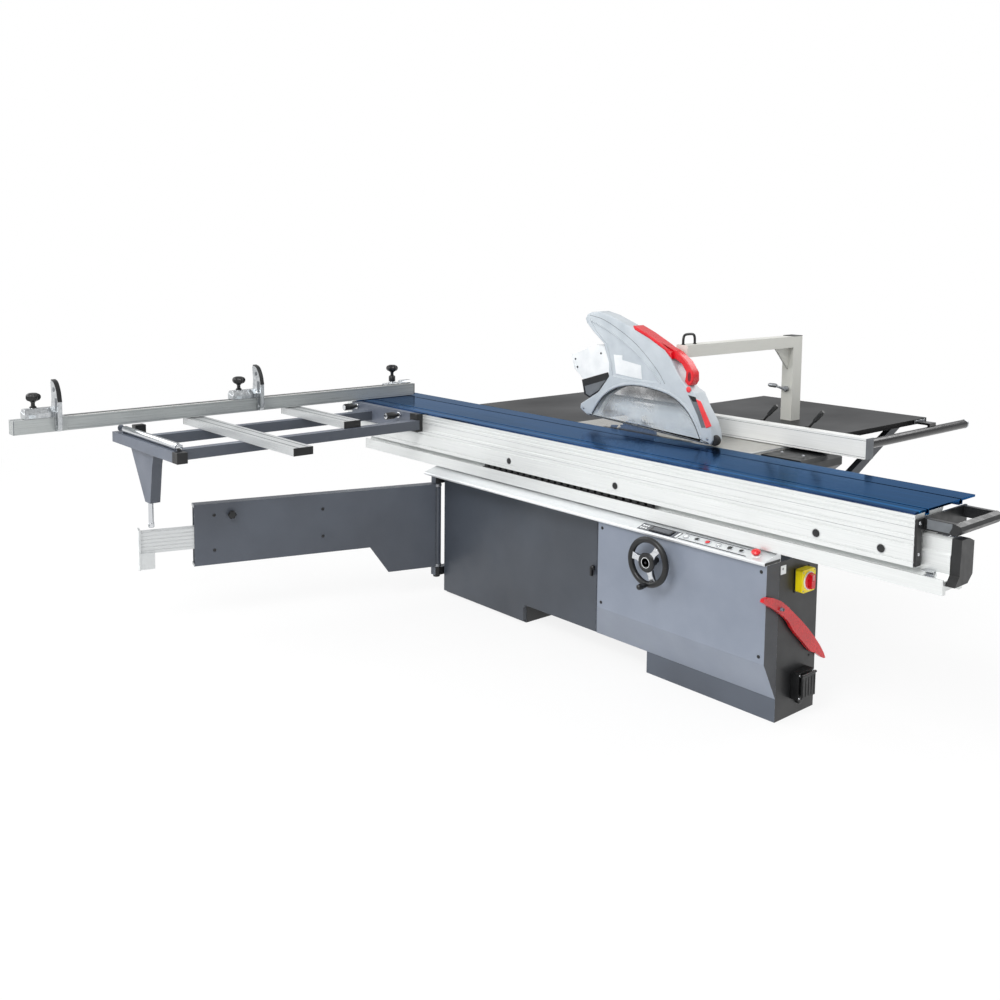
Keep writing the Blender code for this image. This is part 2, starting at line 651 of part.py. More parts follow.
def make_fascia():
    """Sloped aluminium fascia under the rail, with the control buttons."""
    bottom = CABINET_TOP + FIT
    outline = [(FASCIA_FAR, FASCIA_TOP), (FASCIA_NEAR, FASCIA_TOP - FASCIA_DROP),
               (FASCIA_NEAR - 0.004, FASCIA_TOP - FASCIA_DROP - 0.005),
               (FASCIA_NEAR, bottom), (FASCIA_FAR, bottom)]
    holes = [on_fascia(rod(BUTTON_RADIUS + 0.0006, "Z", (0, 0, 0), -BUTTON_DEEP - 0.003, 0.02, 16), x)
             for x in BUTTONS.values()]
    holes.append(on_fascia(rod(ESTOP_STEM + 0.0006, "Z", (0, 0, 0), -BUTTON_DEEP - 0.003, 0.02, 16), ESTOP_X))
    shape("control_fascia", prism(outline, "X", FASCIA_LEFT, CABINET_RIGHT), "aluminium", cut=holes)
    colours = {"start_button": "white_paint", "stop_button": "red_plastic", "scorer_button": "black_plastic"}
    for name, x in BUTTONS.items():
        cap = turned([(BUTTON_RADIUS, -BUTTON_DEEP), (BUTTON_RADIUS, BUTTON_PROUD - 0.0015),
                      (BUTTON_RADIUS - 0.0015, BUTTON_PROUD)], "Z", (0, 0, 0), 16)
        shape(name, on_fascia(cap, x), colours[name], pivot=fascia_point(x))
    head = turned([(ESTOP_STEM, -BUTTON_DEEP), (ESTOP_STEM, 0.008), (ESTOP_HEAD - 0.001, 0.010),
                   (ESTOP_HEAD, 0.016), (ESTOP_HEAD - 0.005, 0.021), (0.0, 0.023)], "Z", (0, 0, 0), 20)
    shape("estop_button", on_fascia(head, ESTOP_X), "red_plastic", pivot=fascia_point(ESTOP_X))


def make_end_face():
    """Main switch, power inlet with its lid, and the push stick on its peg."""
    face = CABINET_RIGHT + FIT
    corner = 0.012
    low = (SWITCH_Y - SWITCH_HALF, SWITCH_Z - SWITCH_HALF)
    high = (SWITCH_Y + SWITCH_HALF, SWITCH_Z + SWITCH_HALF)
    outline = (arc((high[0] - corner, high[1] - corner), corner, 0, 90, 3)
               + arc((low[0] + corner, high[1] - corner), corner, 90, 180, 3)
               + arc((low[0] + corner, low[1] + corner), corner, 180, 270, 3)
               + arc((high[0] - corner, low[1] + corner), corner, 270, 360, 3))
    front = face + SWITCH_DEPTH
    shape("main_switch_plate", prism(outline, "X", face, front), "yellow_plastic")
    centre = (0.0, SWITCH_Y, SWITCH_Z)
    base = front + FIT
    knob = turned([(SWITCH_KNOB_RADIUS, base), (SWITCH_KNOB_RADIUS, base + 0.008),
                   (SWITCH_KNOB_RADIUS - 0.003, base + 0.010)], "X", centre, 28)
    grip = block((base + 0.006, SWITCH_Y - 0.011, SWITCH_Z - 0.026),
                 (base + 0.020, SWITCH_Y + 0.011, SWITCH_Z + 0.026))
    shape("main_switch_knob", knob, "red_plastic", add=[grip], pivot=(base, SWITCH_Y, SWITCH_Z))

    front = face + INLET_DEPTH
    body = block((face, INLET_Y - INLET_HALF, INLET_Z - 0.055),
                 (front, INLET_Y + INLET_HALF, INLET_Z + 0.045))
    collar = rod(SOCKET_RADIUS + 0.007, "X", (0.0, INLET_Y, INLET_Z - 0.006), front - 0.012,
                 front + 0.006, 28)
    socket = rod(SOCKET_RADIUS, "X", (0.0, INLET_Y, INLET_Z - 0.006), face + 0.008, front + 0.038, 28)
    shape("power_inlet", body, "black_plastic", add=[collar], cut=[socket])
    hinge_x = front + 0.0115
    lid = block((front + 0.007, INLET_Y - LID_HALF, INLET_Z - 0.048),
                (front + 0.012, INLET_Y + LID_HALF, LID_HINGE_Z + 0.004))
    pin = rod(0.0045, "Y", (hinge_x, 0.0, LID_HINGE_Z), INLET_Y - LID_HALF - RUN,
              INLET_Y + LID_HALF + RUN, 14)
    shape("inlet_lid", lid, "black_plastic", add=[pin], pivot=(hinge_x, INLET_Y, LID_HINGE_Z))

    crescent = smooth([(-0.522, 0.470), (-0.496, 0.483), (-0.415, 0.454), (-0.330, 0.391), (-0.241, 0.317),
                       (-0.157, 0.232), (-0.119, 0.176), (-0.150, 0.187), (-0.186, 0.212), (-0.215, 0.222),
                       (-0.266, 0.268), (-0.316, 0.312), (-0.345, 0.342), (-0.372, 0.374), (-0.438,
                                                                                            0.422)], 2)
    start = CABINET_RIGHT + STICK_GAP
    stick = prism(crescent, "X", start, start + STICK_THICK)
    hole = rod(PEG_RADIUS + 0.001, "X", (0.0, PEG_Y, PEG_Z), start - 0.02, start + 0.04, 12)
    shape("push_stick", stick, "red_plastic", cut=[hole], pivot=(start, PEG_Y, PEG_Z))


def make_tables():
    """Cast main table with a blade notch, and the two black sheet tables."""
    rim = 0.022
    top_skin = 0.012
    deep = TABLE_UNDERSIDE - 0.01
    notch = block((-0.205, TABLE_NEAR - 0.05, deep), (0.305, BLADE_PLANE + 0.008, TABLE_HEIGHT + 0.01))
    pocket_top = TABLE_HEIGHT - top_skin
    relief = block((-0.270, TABLE_NEAR - 0.05, deep), (0.370, 0.030, pocket_top))
    middle = (TABLE_LEFT + TABLE_FRONT) / 2
    pockets = [block((low, 0.02, deep), (high, MAIN_TABLE_FAR - rim, pocket_top))
               for low, high in ((TABLE_LEFT + rim, middle - rim / 2), (middle + rim / 2, TABLE_FRONT - rim))]
    plate = block((TABLE_LEFT, TABLE_NEAR, TABLE_UNDERSIDE), (TABLE_FRONT, MAIN_TABLE_FAR, TABLE_HEIGHT))
    shape("main_table", plate, "cast_iron", cut=[notch, relief] + pockets)

    fold = 0.003
    low = (OUTFEED_LEFT, TABLE_NEAR, SHEET_UNDERSIDE)
    high = (TABLE_LEFT - FIT, OUTFEED_FAR, TABLE_HEIGHT)
    shape("outfeed_table", block(low, high), "black_table",
          cut=[block((low[0] + fold, low[1] + fold, low[2] + fold),
                     (high[0] - fold, high[1] - fold, high[2] - fold)),
               block((low[0] + 0.03, low[1] + 0.03, low[2] - 0.01),
                     (high[0] - 0.03, high[1] - 0.03, low[2] + 0.01))])

    low = (TABLE_LEFT, MAIN_TABLE_FAR + FIT, SHEET_UNDERSIDE)
    high = (SIDE_TABLE_FRONT, SIDE_TABLE_FAR, TABLE_HEIGHT)
    post_hole = block((POST_X - POST_WIDTH / 2 - RUN, POST_NEAR - RUN, low[2] - 0.01),
                      (POST_X + POST_WIDTH / 2 + RUN, POST_NEAR + POST_DEPTH + RUN, high[2] + 0.01))
    corner = block((TABLE_LEFT - 0.01, MAIN_TABLE_FAR - 0.01, low[2] - 0.01),
                   (TABLE_LEFT + FIT, OUTFEED_FAR + FIT, high[2] + 0.01))
    shape("side_table", block(low, high), "black_table",
          cut=[block((low[0] + fold, low[1] + fold, low[2] + fold),
                     (high[0] - fold, high[1] - fold, high[2] - fold)),
               block((low[0] + 0.03, low[1] + 0.03, low[2] - 0.01),
                     (high[0] - 0.03, high[1] - 0.03, low[2] + 0.01)),
               post_hole, corner])


def make_rail():
    """Fixed rail of the sliding table, with its end cap and roller cage."""
    near, far = RAIL_NEAR, RAIL_FAR
    low, top = RAIL_BOTTOM, RAIL_TOP
    outline = [(near, low), (near, low + 0.0495), (near + 0.005, low + 0.0495), (near + 0.009, low + 0.042),
               (near + 0.030, low + 0.042), (near + 0.040, low + 0.060), (near + 0.040, low + 0.118),
               (near + 0.046, low + 0.125), (near + 0.046, top - 0.008), (near + 0.054, top),
               (far - 0.038, top), (far - 0.030, top - 0.008), (far - 0.030, low + 0.075),
               (far, low + 0.053), (far, low), (far - 0.020, low), (far - 0.020, low + 0.012),
               (near + 0.020, low + 0.012), (near + 0.020, low)]
    shape("fixed_rail", prism(outline, "X", RAIL_LEFT, RAIL_RIGHT), "aluminium")
    cap = [(near + 0.012, low + RAIL_CAP_FOOT), (far - 0.030, low + RAIL_CAP_FOOT), (far, low + 0.056),
           (far + 0.002, top - 0.012),
           (far - 0.030, top + 0.001), (near + 0.046, top + 0.001), (near + 0.040, low + 0.060)]
    shape("rail_end_cap", prism(cap, "X", RAIL_RIGHT + FIT, RAIL_RIGHT + RAIL_CAP), "black_plastic")

    strip_low = low + 0.0440
    strip_high = SKIRT_BOTTOM - 0.0015
    teeth = []
    count = round(CAGE_LENGTH / CAGE_PITCH)
    pitch = CAGE_LENGTH / count
    for number in range(count):
        x = CAGE_LEFT + number * pitch
        teeth += [(x, strip_low + 0.006), (x + pitch * 0.3, strip_low + 0.006),
                  (x + pitch * 0.4, strip_high), (x + pitch * 0.9, strip_high)]
    teeth += [(CAGE_LEFT + CAGE_LENGTH, strip_low + 0.006), (CAGE_LEFT + CAGE_LENGTH, strip_low),
              (CAGE_LEFT, strip_low)]
    shape("roller_cage", prism(teeth, "Y", near + 0.0115, near + 0.0275), "black_plastic",
          pivot=(CAGE_LEFT, near + 0.0195, strip_low))


# ---------------------------------------------------------------- sliding table


def make_carriage():
    """Box beam with a ribbed skirt, and the anodised top with two T slots."""
    near = CARRIAGE_NEAR
    slot_near = near + NEAR_SLOT_INSET
    slot_far = near + FAR_SLOT_INSET
    channel = SLOT_CAVITY / 2 + SLOT_WALL
    channel_low = TABLE_HEIGHT - SLOT_LIP - SLOT_DEPTH
    web_low = TABLE_HEIGHT - 0.064
    leg_near = near + INNER_LEG_INSET
    leg_far = leg_near + INNER_LEG_THICK
    skirt = [(near, BODY_TOP)]
    for drop, height in ((0.018, 0.005), (0.033, 0.005), (0.072, 0.006), (0.100, 0.005), (0.156, 0.004)):
        z = TABLE_HEIGHT - drop
        skirt += [(near, z), (near + GROOVE_DEPTH, z - 0.001), (near + GROOVE_DEPTH, z - height),
                  (near, z - height - 0.001)]
    skirt += [(near, SKIRT_BOTTOM), (near + SKIRT_THICK, SKIRT_BOTTOM), (near + SKIRT_THICK, web_low),
              (leg_near, web_low), (leg_near, SKIRT_BOTTOM + 0.006), (leg_far, SKIRT_BOTTOM + 0.006),
              (leg_far, TABLE_HEIGHT - 0.035), (leg_far + 0.015, BODY_TOP),
              (slot_near + channel + 0.001, BODY_TOP), (slot_near + channel + 0.001, channel_low - 0.001),
              (slot_near - channel - 0.001, channel_low - 0.001), (slot_near - channel - 0.001, BODY_TOP)]
    shape("carriage_body", prism(skirt, "X", CARRIAGE_LEFT, CARRIAGE_RIGHT), "aluminium",
          pivot=(CARRIAGE_LEFT, near, SKIRT_BOTTOM))

    under = TABLE_HEIGHT - TOP_THICK
    half_open, half_cavity = SLOT_OPENING / 2, SLOT_CAVITY / 2
    top_line, bottom_line = [(near, TABLE_HEIGHT)], []
    for slot in (slot_near, slot_far):
        lip = TABLE_HEIGHT - SLOT_LIP
        floor = channel_low + SLOT_WALL
        top_line += [(slot - half_open, TABLE_HEIGHT), (slot - half_open, lip), (slot - half_cavity, lip),
                     (slot - half_cavity, floor), (slot + half_cavity, floor), (slot + half_cavity, lip),
                     (slot + half_open, lip), (slot + half_open, TABLE_HEIGHT)]
        bottom_line += [(slot - channel, under), (slot - channel, channel_low),
                        (slot + channel, channel_low), (slot + channel, under)]
    top_line += [(CARRIAGE_FAR, TABLE_HEIGHT), (CARRIAGE_FAR, under)]
    outline = top_line + bottom_line[::-1] + [(near, under)]
    shape("carriage_top", prism(outline, "X", CARRIAGE_LEFT, CARRIAGE_RIGHT), "blue_anodised",
          pivot=(CARRIAGE_LEFT, near, under))

    plate = [(near + 0.002, SKIRT_BOTTOM + 0.003), (near + SKIRT_THICK - 0.0005, SKIRT_BOTTOM + 0.003),
             (near + SKIRT_THICK - 0.0005, web_low + 0.0005), (leg_near + 0.0005, web_low + 0.0005),
             (leg_near + 0.0005, SKIRT_BOTTOM + 0.009), (leg_far - 0.0005, SKIRT_BOTTOM + 0.009),
             (leg_far - 0.0005, web_low - 0.012), (CARRIAGE_FAR - 0.070, web_low - 0.012),
             (CARRIAGE_FAR - 0.070, channel_low - 0.002), (near + 0.002, channel_low - 0.002)]
    start = CARRIAGE_RIGHT + FIT
    low, high = web_low + 0.004, channel_low - 0.004
    reach = start + HANDLE_REACH
    left_y, right_y = near + 0.046, CARRIAGE_FAR - 0.076
    arms = [block((start + HANDLE_PLATE / 2, y, low), (reach - 0.012, y + HANDLE_ARM, high))
            for y in (left_y, right_y - HANDLE_ARM)]
    bar = [(reach - 0.030, low + 0.006), (reach - 0.006, low), (reach + 0.010, low + 0.018),
           (reach + 0.006, high - 0.006), (reach - 0.014, high)]
    grip = prism(bar, "Y", left_y - 0.002, right_y + 0.006)
    shape("push_handle", prism(plate, "X", start, start + HANDLE_PLATE), "black_plastic", add=arms + [grip],
          pivot=(start, near, web_low))


def make_outrigger():
    """Outrigger table beside the carriage, with its leg, bars, roller and clamps."""
    tube = FRAME_TUBE
    low, top = FRAME_TOP - tube, FRAME_TOP
    cross = block((FRAME_LEFT, FRAME_NEAR, low), (FRAME_RIGHT, FRAME_NEAR + tube, top))
    beams = [block((x - tube / 2, FRAME_NEAR + tube / 2, low), (x + tube / 2, BRACKET_NEAR + 0.010, top))
             for x in (LONG_BEAM_NEAR_X, LONG_BEAM_FAR_X)]
    bracket = block((BRACKET_LEFT, BRACKET_NEAR, BRACKET_TOP - BRACKET_HEIGHT),
                    (BRACKET_RIGHT, BRACKET_FAR, BRACKET_TOP))
    roller_y = FRAME_NEAR + 0.030
    roller_z = top + ROLLER_RADIUS + 0.0015
    plate = 0.005
    roller_left, roller_right = FRAME_LEFT + ROLLER_LEFT_INSET, FRAME_RIGHT - ROLLER_RIGHT_INSET
    holders = [block((x, roller_y - 0.012, low + 0.01), (x + plate, roller_y + 0.012, roller_z + 0.010))
               for x in (roller_left - 0.001 - plate, roller_right + 0.001)]
    bores = [rod(ROLLER_PIN + 0.0008, "X", (0, roller_y, roller_z), x - 0.02, x + 0.02,
                 12) for x in (roller_left, roller_right)]
    shape("outrigger_frame", cross, "slate", add=beams + [bracket] + holders, cut=bores,
          pivot=(FRAME_LEFT, FRAME_NEAR, low))
    profile = [(ROLLER_PIN, roller_left - 0.006), (ROLLER_PIN, roller_left), (ROLLER_RADIUS, roller_left),
               (ROLLER_RADIUS, roller_right), (ROLLER_PIN, roller_right), (ROLLER_PIN, roller_right + 0.006)]
    shape("outrigger_roller", turned(profile, "X", (0, roller_y, roller_z), 24), "chrome",
          pivot=(roller_left, roller_y, roller_z))

    leg_top = low - FIT
    outline = [(LEG_ROD_X - 0.155, leg_top), (LEG_ROD_X + 0.085, leg_top),
               (LEG_ROD_X + 0.068, leg_top - 0.05),
               (LEG_ROD_X + 0.040, LEG_BOTTOM), (LEG_ROD_X - 0.012, LEG_BOTTOM)]
    near = LEG_ROD_Y - 0.020
    leg = prism(outline, "Y", near, near + FRAME_TUBE)
    foot = rod(LEG_FOOT_RADIUS, "Z", (LEG_ROD_X, LEG_ROD_Y, 0), INNER_ARM_TOP + 0.014, LEG_BOTTOM + 0.03, 16)
    shape("outrigger_leg", leg, "slate", add=[foot], pivot=(LEG_ROD_X, LEG_ROD_Y, leg_top))

    for name, right, y in (("support_bar_1", BAR_1_RIGHT, BAR_1_Y), ("support_bar_2", BAR_2_RIGHT, BAR_2_Y)):
        floor = top + FIT
        wall = BAR_WALL
        bar = block((BAR_LEFT, y - BAR_WIDTH / 2, floor), (right, y + BAR_WIDTH / 2, floor + BAR_HEIGHT))
        tunnel = block((BAR_LEFT - 0.01, y - BAR_WIDTH / 2 + wall, floor + wall),
                       (right + 0.01, y + BAR_WIDTH / 2 - wall, floor + BAR_HEIGHT - wall))
        shape(name, bar, "aluminium", cut=[tunnel], pivot=(right, y, floor))

    for number, x in enumerate(CLAMP_X, 1):
        face = BRACKET_NEAR - FIT
        knob = turned([(0.012, face), (0.012, face - 0.012), (0.008, face - 0.014), (0.008, face - 0.050),
                       (0.016, face - 0.056), (0.017, face - 0.078), (0.013, face - 0.084)],
                      "Y", (x, 0, CLAMP_Z), 18)
        wing = block((x - 0.024, face - 0.076, CLAMP_Z - 0.005), (x + 0.024, face - 0.060, CLAMP_Z + 0.005))
        shape(f"clamp_knob_{number}", knob, "black_plastic", add=[wing], pivot=(x, face, CLAMP_Z))


# ---------------------------------------------------------------- crosscut fence


def make_fence():
    """Crosscut fence tube with a telescopic extension."""
    face, back = FENCE_FACE, FENCE_FACE - FENCE_DEPTH
    low, top = FENCE_BOTTOM, FENCE_TOP
    centre = (face + back) / 2
    groove = FENCE_GROOVE / 2
    outline = [(back, low), (face, low), (face, top), (centre + groove, top), (centre + groove, top - 0.003),
               (centre - groove, top - 0.003), (centre - groove, top), (back, top)]
    wall = FENCE_WALL + 0.001
    tunnel = block((back + wall, FENCE_NEAR - 0.01, low + wall),
                   (face - wall, FENCE_FAR - wall, top - wall - 0.002))
    shape("crosscut_fence", prism(outline, "Y", FENCE_NEAR, FENCE_FAR), "aluminium", cut=[tunnel],
          pivot=(face, FENCE_FAR, low))
    gap = TONGUE_GAP
    stub = prism(outline, "Y", EXTENSION_NEAR, FENCE_NEAR - FIT)
    tongue = block((back + wall + gap, FENCE_NEAR - 0.01, low + wall + gap),
                   (face - wall - gap, FENCE_NEAR + TONGUE_LENGTH, top - wall - 0.002 - gap))
    shape("fence_extension", stub, "aluminium", add=[tongue], pivot=(face, FENCE_NEAR, low))
    for number, y in enumerate((STOP_1_Y, STOP_2_Y), 1):
        make_stop(number, y)


def make_stop(number, y):
    """Stop carrier on the fence with its flip-over arm and clamp knob."""
    face, back = FENCE_FACE, FENCE_FACE - FENCE_DEPTH
    low = FENCE_TOP + 0.001
    top = low + STOP_HEIGHT
    end = y + STOP_LENGTH / 2
    outline = [(back + 0.004, low), (face - 0.001, low), (face - 0.001, low + 0.022), (face - 0.012, top),
               (back + 0.012, top), (back + 0.004, top - 0.008)]
    pin = rod(PIN_RADIUS, "Y", (FIN_PIVOT[0], 0, FIN_PIVOT[1]), end - 0.01, end + FIN_THICK + 0.002, 14)
    knob_x = (face + back) / 2
    knob_y = y - 0.018
    shape(f"stop_carrier_{number}", prism(outline, "Y", y - STOP_LENGTH / 2, end), "aluminium", add=[pin],
          pivot=(face, y, low))
    fin = ([(face + 0.003, FENCE_BOTTOM + 0.004), (face + 0.030, FENCE_BOTTOM + 0.004)]
           + [(face + 0.045, FENCE_BOTTOM + 0.020), (face + 0.045, FENCE_TOP + 0.070)]
           + smooth([(face + 0.045, FENCE_TOP + 0.070), (face + 0.032, FENCE_TOP + 0.115),
                     (face + 0.005, FENCE_TOP + 0.150), (face - 0.030,
                                                         FENCE_TOP + 0.160)], 3, closed=False)[1:]
           + [(face - 0.037, FENCE_TOP + 0.148), (face - 0.030, FENCE_TOP + 0.090),
              (face - 0.036, FENCE_TOP + 0.040), (face - 0.034, FENCE_TOP + 0.012), (face + 0.003,
                                                                                     FENCE_TOP + 0.004)])
    slot = (arc((face + 0.026, FENCE_BOTTOM + 0.030), 0.007, 180, 360, 5)
            + arc((face + 0.026, FENCE_TOP + 0.018), 0.007, 0, 180, 5))
    start = end + FIT
    stop = start + FIN_THICK
    eye = rod(PIN_RADIUS + 0.0006, "Y", (FIN_PIVOT[0], 0, FIN_PIVOT[1]), start - 0.01, stop + 0.01, 14)
    shape(f"flip_arm_{number}", prism(fin, "Y", start, stop), "aluminium",
          cut=[eye, prism(slot, "Y", start - 0.01, stop + 0.01)], pivot=(FIN_PIVOT[0], start, FIN_PIVOT[1]))
    base = top + FIT
    knob = turned([(0.014, base), (0.009, base + 0.006), (0.009, base + 0.034), (0.029, base + 0.042),
                   (0.0325, base + 0.050), (0.030, base + 0.058), (0.018, base + 0.066)], "Z",
                  (knob_x, knob_y, 0), 20)
    shape(f"stop_knob_{number}", knob, "black_plastic", pivot=(knob_x, knob_y, base))


# ---------------------------------------------------------------- swing arm


def along_arm(solid):
    """Move a solid made along +X from the origin onto the arm's line."""
    return stand(solid, Matrix.Translation((HINGE_X, HINGE_Y, 0)) @ Matrix.Rotation(ARM_ANGLE, 4, "Z"))


def make_swing_arm():
    """Channel arm on the cabinet's hinge pin and the telescopic inner arm."""
    tube = rod(HINGE_TUBE_RADIUS, "Z", (HINGE_X, HINGE_Y, 0), HINGE_BOTTOM, HINGE_TOP, 24)
    bore = rod(HINGE_PIN_RADIUS + 0.0008, "Z", (HINGE_X, HINGE_Y, 0), HINGE_BOTTOM - 0.01,
               HINGE_TOP + 0.01, 18)
    web = 0.004
    start = HINGE_TUBE_RADIUS * 0.7
    right, left = -ARM_THICK / 2, ARM_THICK / 2
    channel = along_arm(block((start, right, ARM_BOTTOM), (ARM_LENGTH, left, HINGE_TOP)))
    inside = along_arm(block((0.060, right + web, ARM_BOTTOM + web),
                             (ARM_LENGTH + 0.01, left - web, HINGE_TOP - web)))
    gusset = [(start, ARM_BOTTOM + 0.01), (start, HINGE_BOTTOM + 0.006),
              (GUSSET_LENGTH * 0.72, HINGE_BOTTOM + 0.006),
              (GUSSET_LENGTH, ARM_BOTTOM + 0.01)]
    web_plate = along_arm(prism(gusset, "Y", left - 0.010, left))
    shape("swing_arm", tube, "dark_slate", add=[channel, web_plate], cut=[inside, bore],
          pivot=(HINGE_X, HINGE_Y, HINGE_BOTTOM))

    half = INNER_ARM_THICK / 2
    reach = ARM_REACH + 0.050
    rib = 0.002
    ribs = []
    count = 6
    pitch = (INNER_ARM_TOP - INNER_ARM_BOTTOM) / count
    for number in range(count):
        z = INNER_ARM_BOTTOM + number * pitch
        ribs += [(half, z), (half, z + pitch * 0.7), (half - rib, z + pitch * 0.75),
                 (half - rib, z + pitch * 0.95)]
    outline = ribs + [(half, INNER_ARM_TOP), (-half, INNER_ARM_TOP), (-half, INNER_ARM_BOTTOM)]
    bar = along_arm(prism(outline, "X", ARM_LENGTH - INNER_ARM_INSIDE, reach))
    plate = along_arm(block((reach - 0.002, -0.028, INNER_ARM_BOTTOM - 0.070),
                            (reach + 0.006, 0.028, INNER_ARM_TOP + 0.010)))
    shoe = along_arm(block((reach - 0.060, -0.026, INNER_ARM_BOTTOM - 0.068),
                           (reach, 0.026, INNER_ARM_BOTTOM + 0.004)))
    cavity = along_arm(block((reach - 0.070, -0.020, INNER_ARM_BOTTOM - 0.064),
                             (reach - 0.006, 0.020, INNER_ARM_BOTTOM - 0.004)))
    shape("inner_arm", bar, "aluminium", add=[plate, shoe], cut=[cavity],
          pivot=(HINGE_X + ARM_DIRECTION.x * ARM_LENGTH, HINGE_Y + ARM_DIRECTION.y * ARM_LENGTH,
                 INNER_ARM_BOTTOM))


# ---------------------------------------------------------------- rip fence


def make_rip_fence():
    """Round rail, fence head that runs on it, fence profile and two cam levers."""
    bar = rod(RIP_RAIL_RADIUS, "Y", (RIP_RAIL_X, 0, RIP_RAIL_Z), RIP_RAIL_NEAR, RIP_RAIL_FAR, 28)
    feet = [block((TABLE_FRONT + FIT, y - 0.020, RIP_RAIL_Z - 0.012),
                  (RIP_RAIL_X, y + 0.020, RIP_RAIL_Z + 0.006))
            for y in (RIP_RAIL_NEAR + 0.05, MAIN_TABLE_FAR - 0.05)]
    arm = block((SIDE_TABLE_FRONT + FIT, SIDE_TABLE_FAR - 0.10, SHEET_UNDERSIDE + 0.002),
                (RIP_RAIL_X, SIDE_TABLE_FAR - 0.04, SHEET_UNDERSIDE + 0.012))
    drop = block((RIP_RAIL_X - 0.012, SIDE_TABLE_FAR - 0.10, RIP_RAIL_Z - 0.006),
                 (RIP_RAIL_X, SIDE_TABLE_FAR - 0.04, SHEET_UNDERSIDE + 0.012))
    shape("rip_rail", bar, "black_plastic", add=feet + [arm, drop])

    clear = RIP_RAIL_RADIUS + 0.0012
    head_near = RIP_FACE - RIP_HEAD_AHEAD
    head_far = head_near + RIP_HEAD_LENGTH
    left, right = TABLE_FRONT + 0.010, RIP_RAIL_X + 0.150
    top = TABLE_HEIGHT - RIP_HEAD_DROP
    bed_top = TABLE_HEIGHT + RIP_BED_TOP
    outline = [(left, top), (left, top - 0.014), (RIP_RAIL_X - clear - 0.004, RIP_RAIL_Z + 0.014),
               (RIP_RAIL_X + clear + 0.004, RIP_RAIL_Z - 0.030), (right - 0.030, RIP_RAIL_Z - 0.034),
               (right, RIP_RAIL_Z - 0.008), (right, top - 0.016), (right - 0.012, top)]
    bore = rod(clear, "Y", (RIP_RAIL_X, 0, RIP_RAIL_Z), head_near - 0.01, head_far + 0.01, 28)
    mouth = block((left - 0.02, head_near - 0.01, RIP_RAIL_Z - 0.06),
                  (RIP_RAIL_X, head_far + 0.01, RIP_RAIL_Z + 0.0075))
    bed = block((RIP_HEAD_LEFT, RIP_FACE + RIP_DEPTH + 0.0015, TABLE_HEIGHT + RIP_BED_GAP),
                (RIP_RAIL_X + 0.110, head_far - 0.010, bed_top))
    neck = block((left + 0.004, RIP_FACE + RIP_DEPTH + 0.008, top - 0.010),
                 (RIP_RAIL_X + 0.080, head_far - 0.014, TABLE_HEIGHT + 0.010))
    shape("rip_fence_head", prism(outline, "Y", head_near, head_far), "black_plastic",
          add=[bed, neck], cut=[bore, mouth], pivot=(RIP_RAIL_X, RIP_FACE, RIP_RAIL_Z))

    wall = RIP_WALL
    low, top = RIP_BOTTOM, RIP_TOP
    near, far = RIP_FACE, RIP_FACE + RIP_DEPTH
    profile = prism(rectangle((near, low), (far, top)), "X", RIP_LEFT, RIP_RIGHT)
    cells = [prism(rectangle((near + wall, z0), (far - wall, z1)), "X", RIP_LEFT - 0.01, RIP_RIGHT + 0.01)
             for z0, z1 in ((low + wall, low + RIP_HEIGHT * 0.45),
                            (low + RIP_HEIGHT * 0.45 + wall, top - wall))]
    slot = prism(rectangle((far - wall - 0.001, low + RIP_HEIGHT * 0.68),
                           (far + 0.01, low + RIP_HEIGHT * 0.82)),
                 "X", RIP_LEFT - 0.01, RIP_RIGHT + 0.01)
    shape("rip_fence", profile, "aluminium", cut=cells + [slot], pivot=(RIP_RIGHT, near, low))

    bed_top += FIT
    for number, x in enumerate(LEVER_X, 1):
        y = RIP_FACE + RIP_DEPTH + 0.026
        hub = turned([(0.014, bed_top), (0.014, bed_top + 0.016), (0.009, bed_top + 0.022)], "Z",
                     (x, y, 0), 18)
        handle = turned([(0.005, 0.0), (0.005, 0.040), (0.009, 0.046), (0.011, 0.095), (0.007, 0.104)],
                        "X", (0, 0, 0), 14)
        tilt = Matrix.Rotation(math.radians(LEVER_TILT), 4, "Y")
        stand(handle, Matrix.Translation((x, y, bed_top + 0.012)) @ tilt)
        shape(f"cam_lever_{number}", hub, "black_plastic", add=[handle], pivot=(x, y, bed_top))


# ---------------------------------------------------------------- saw unit


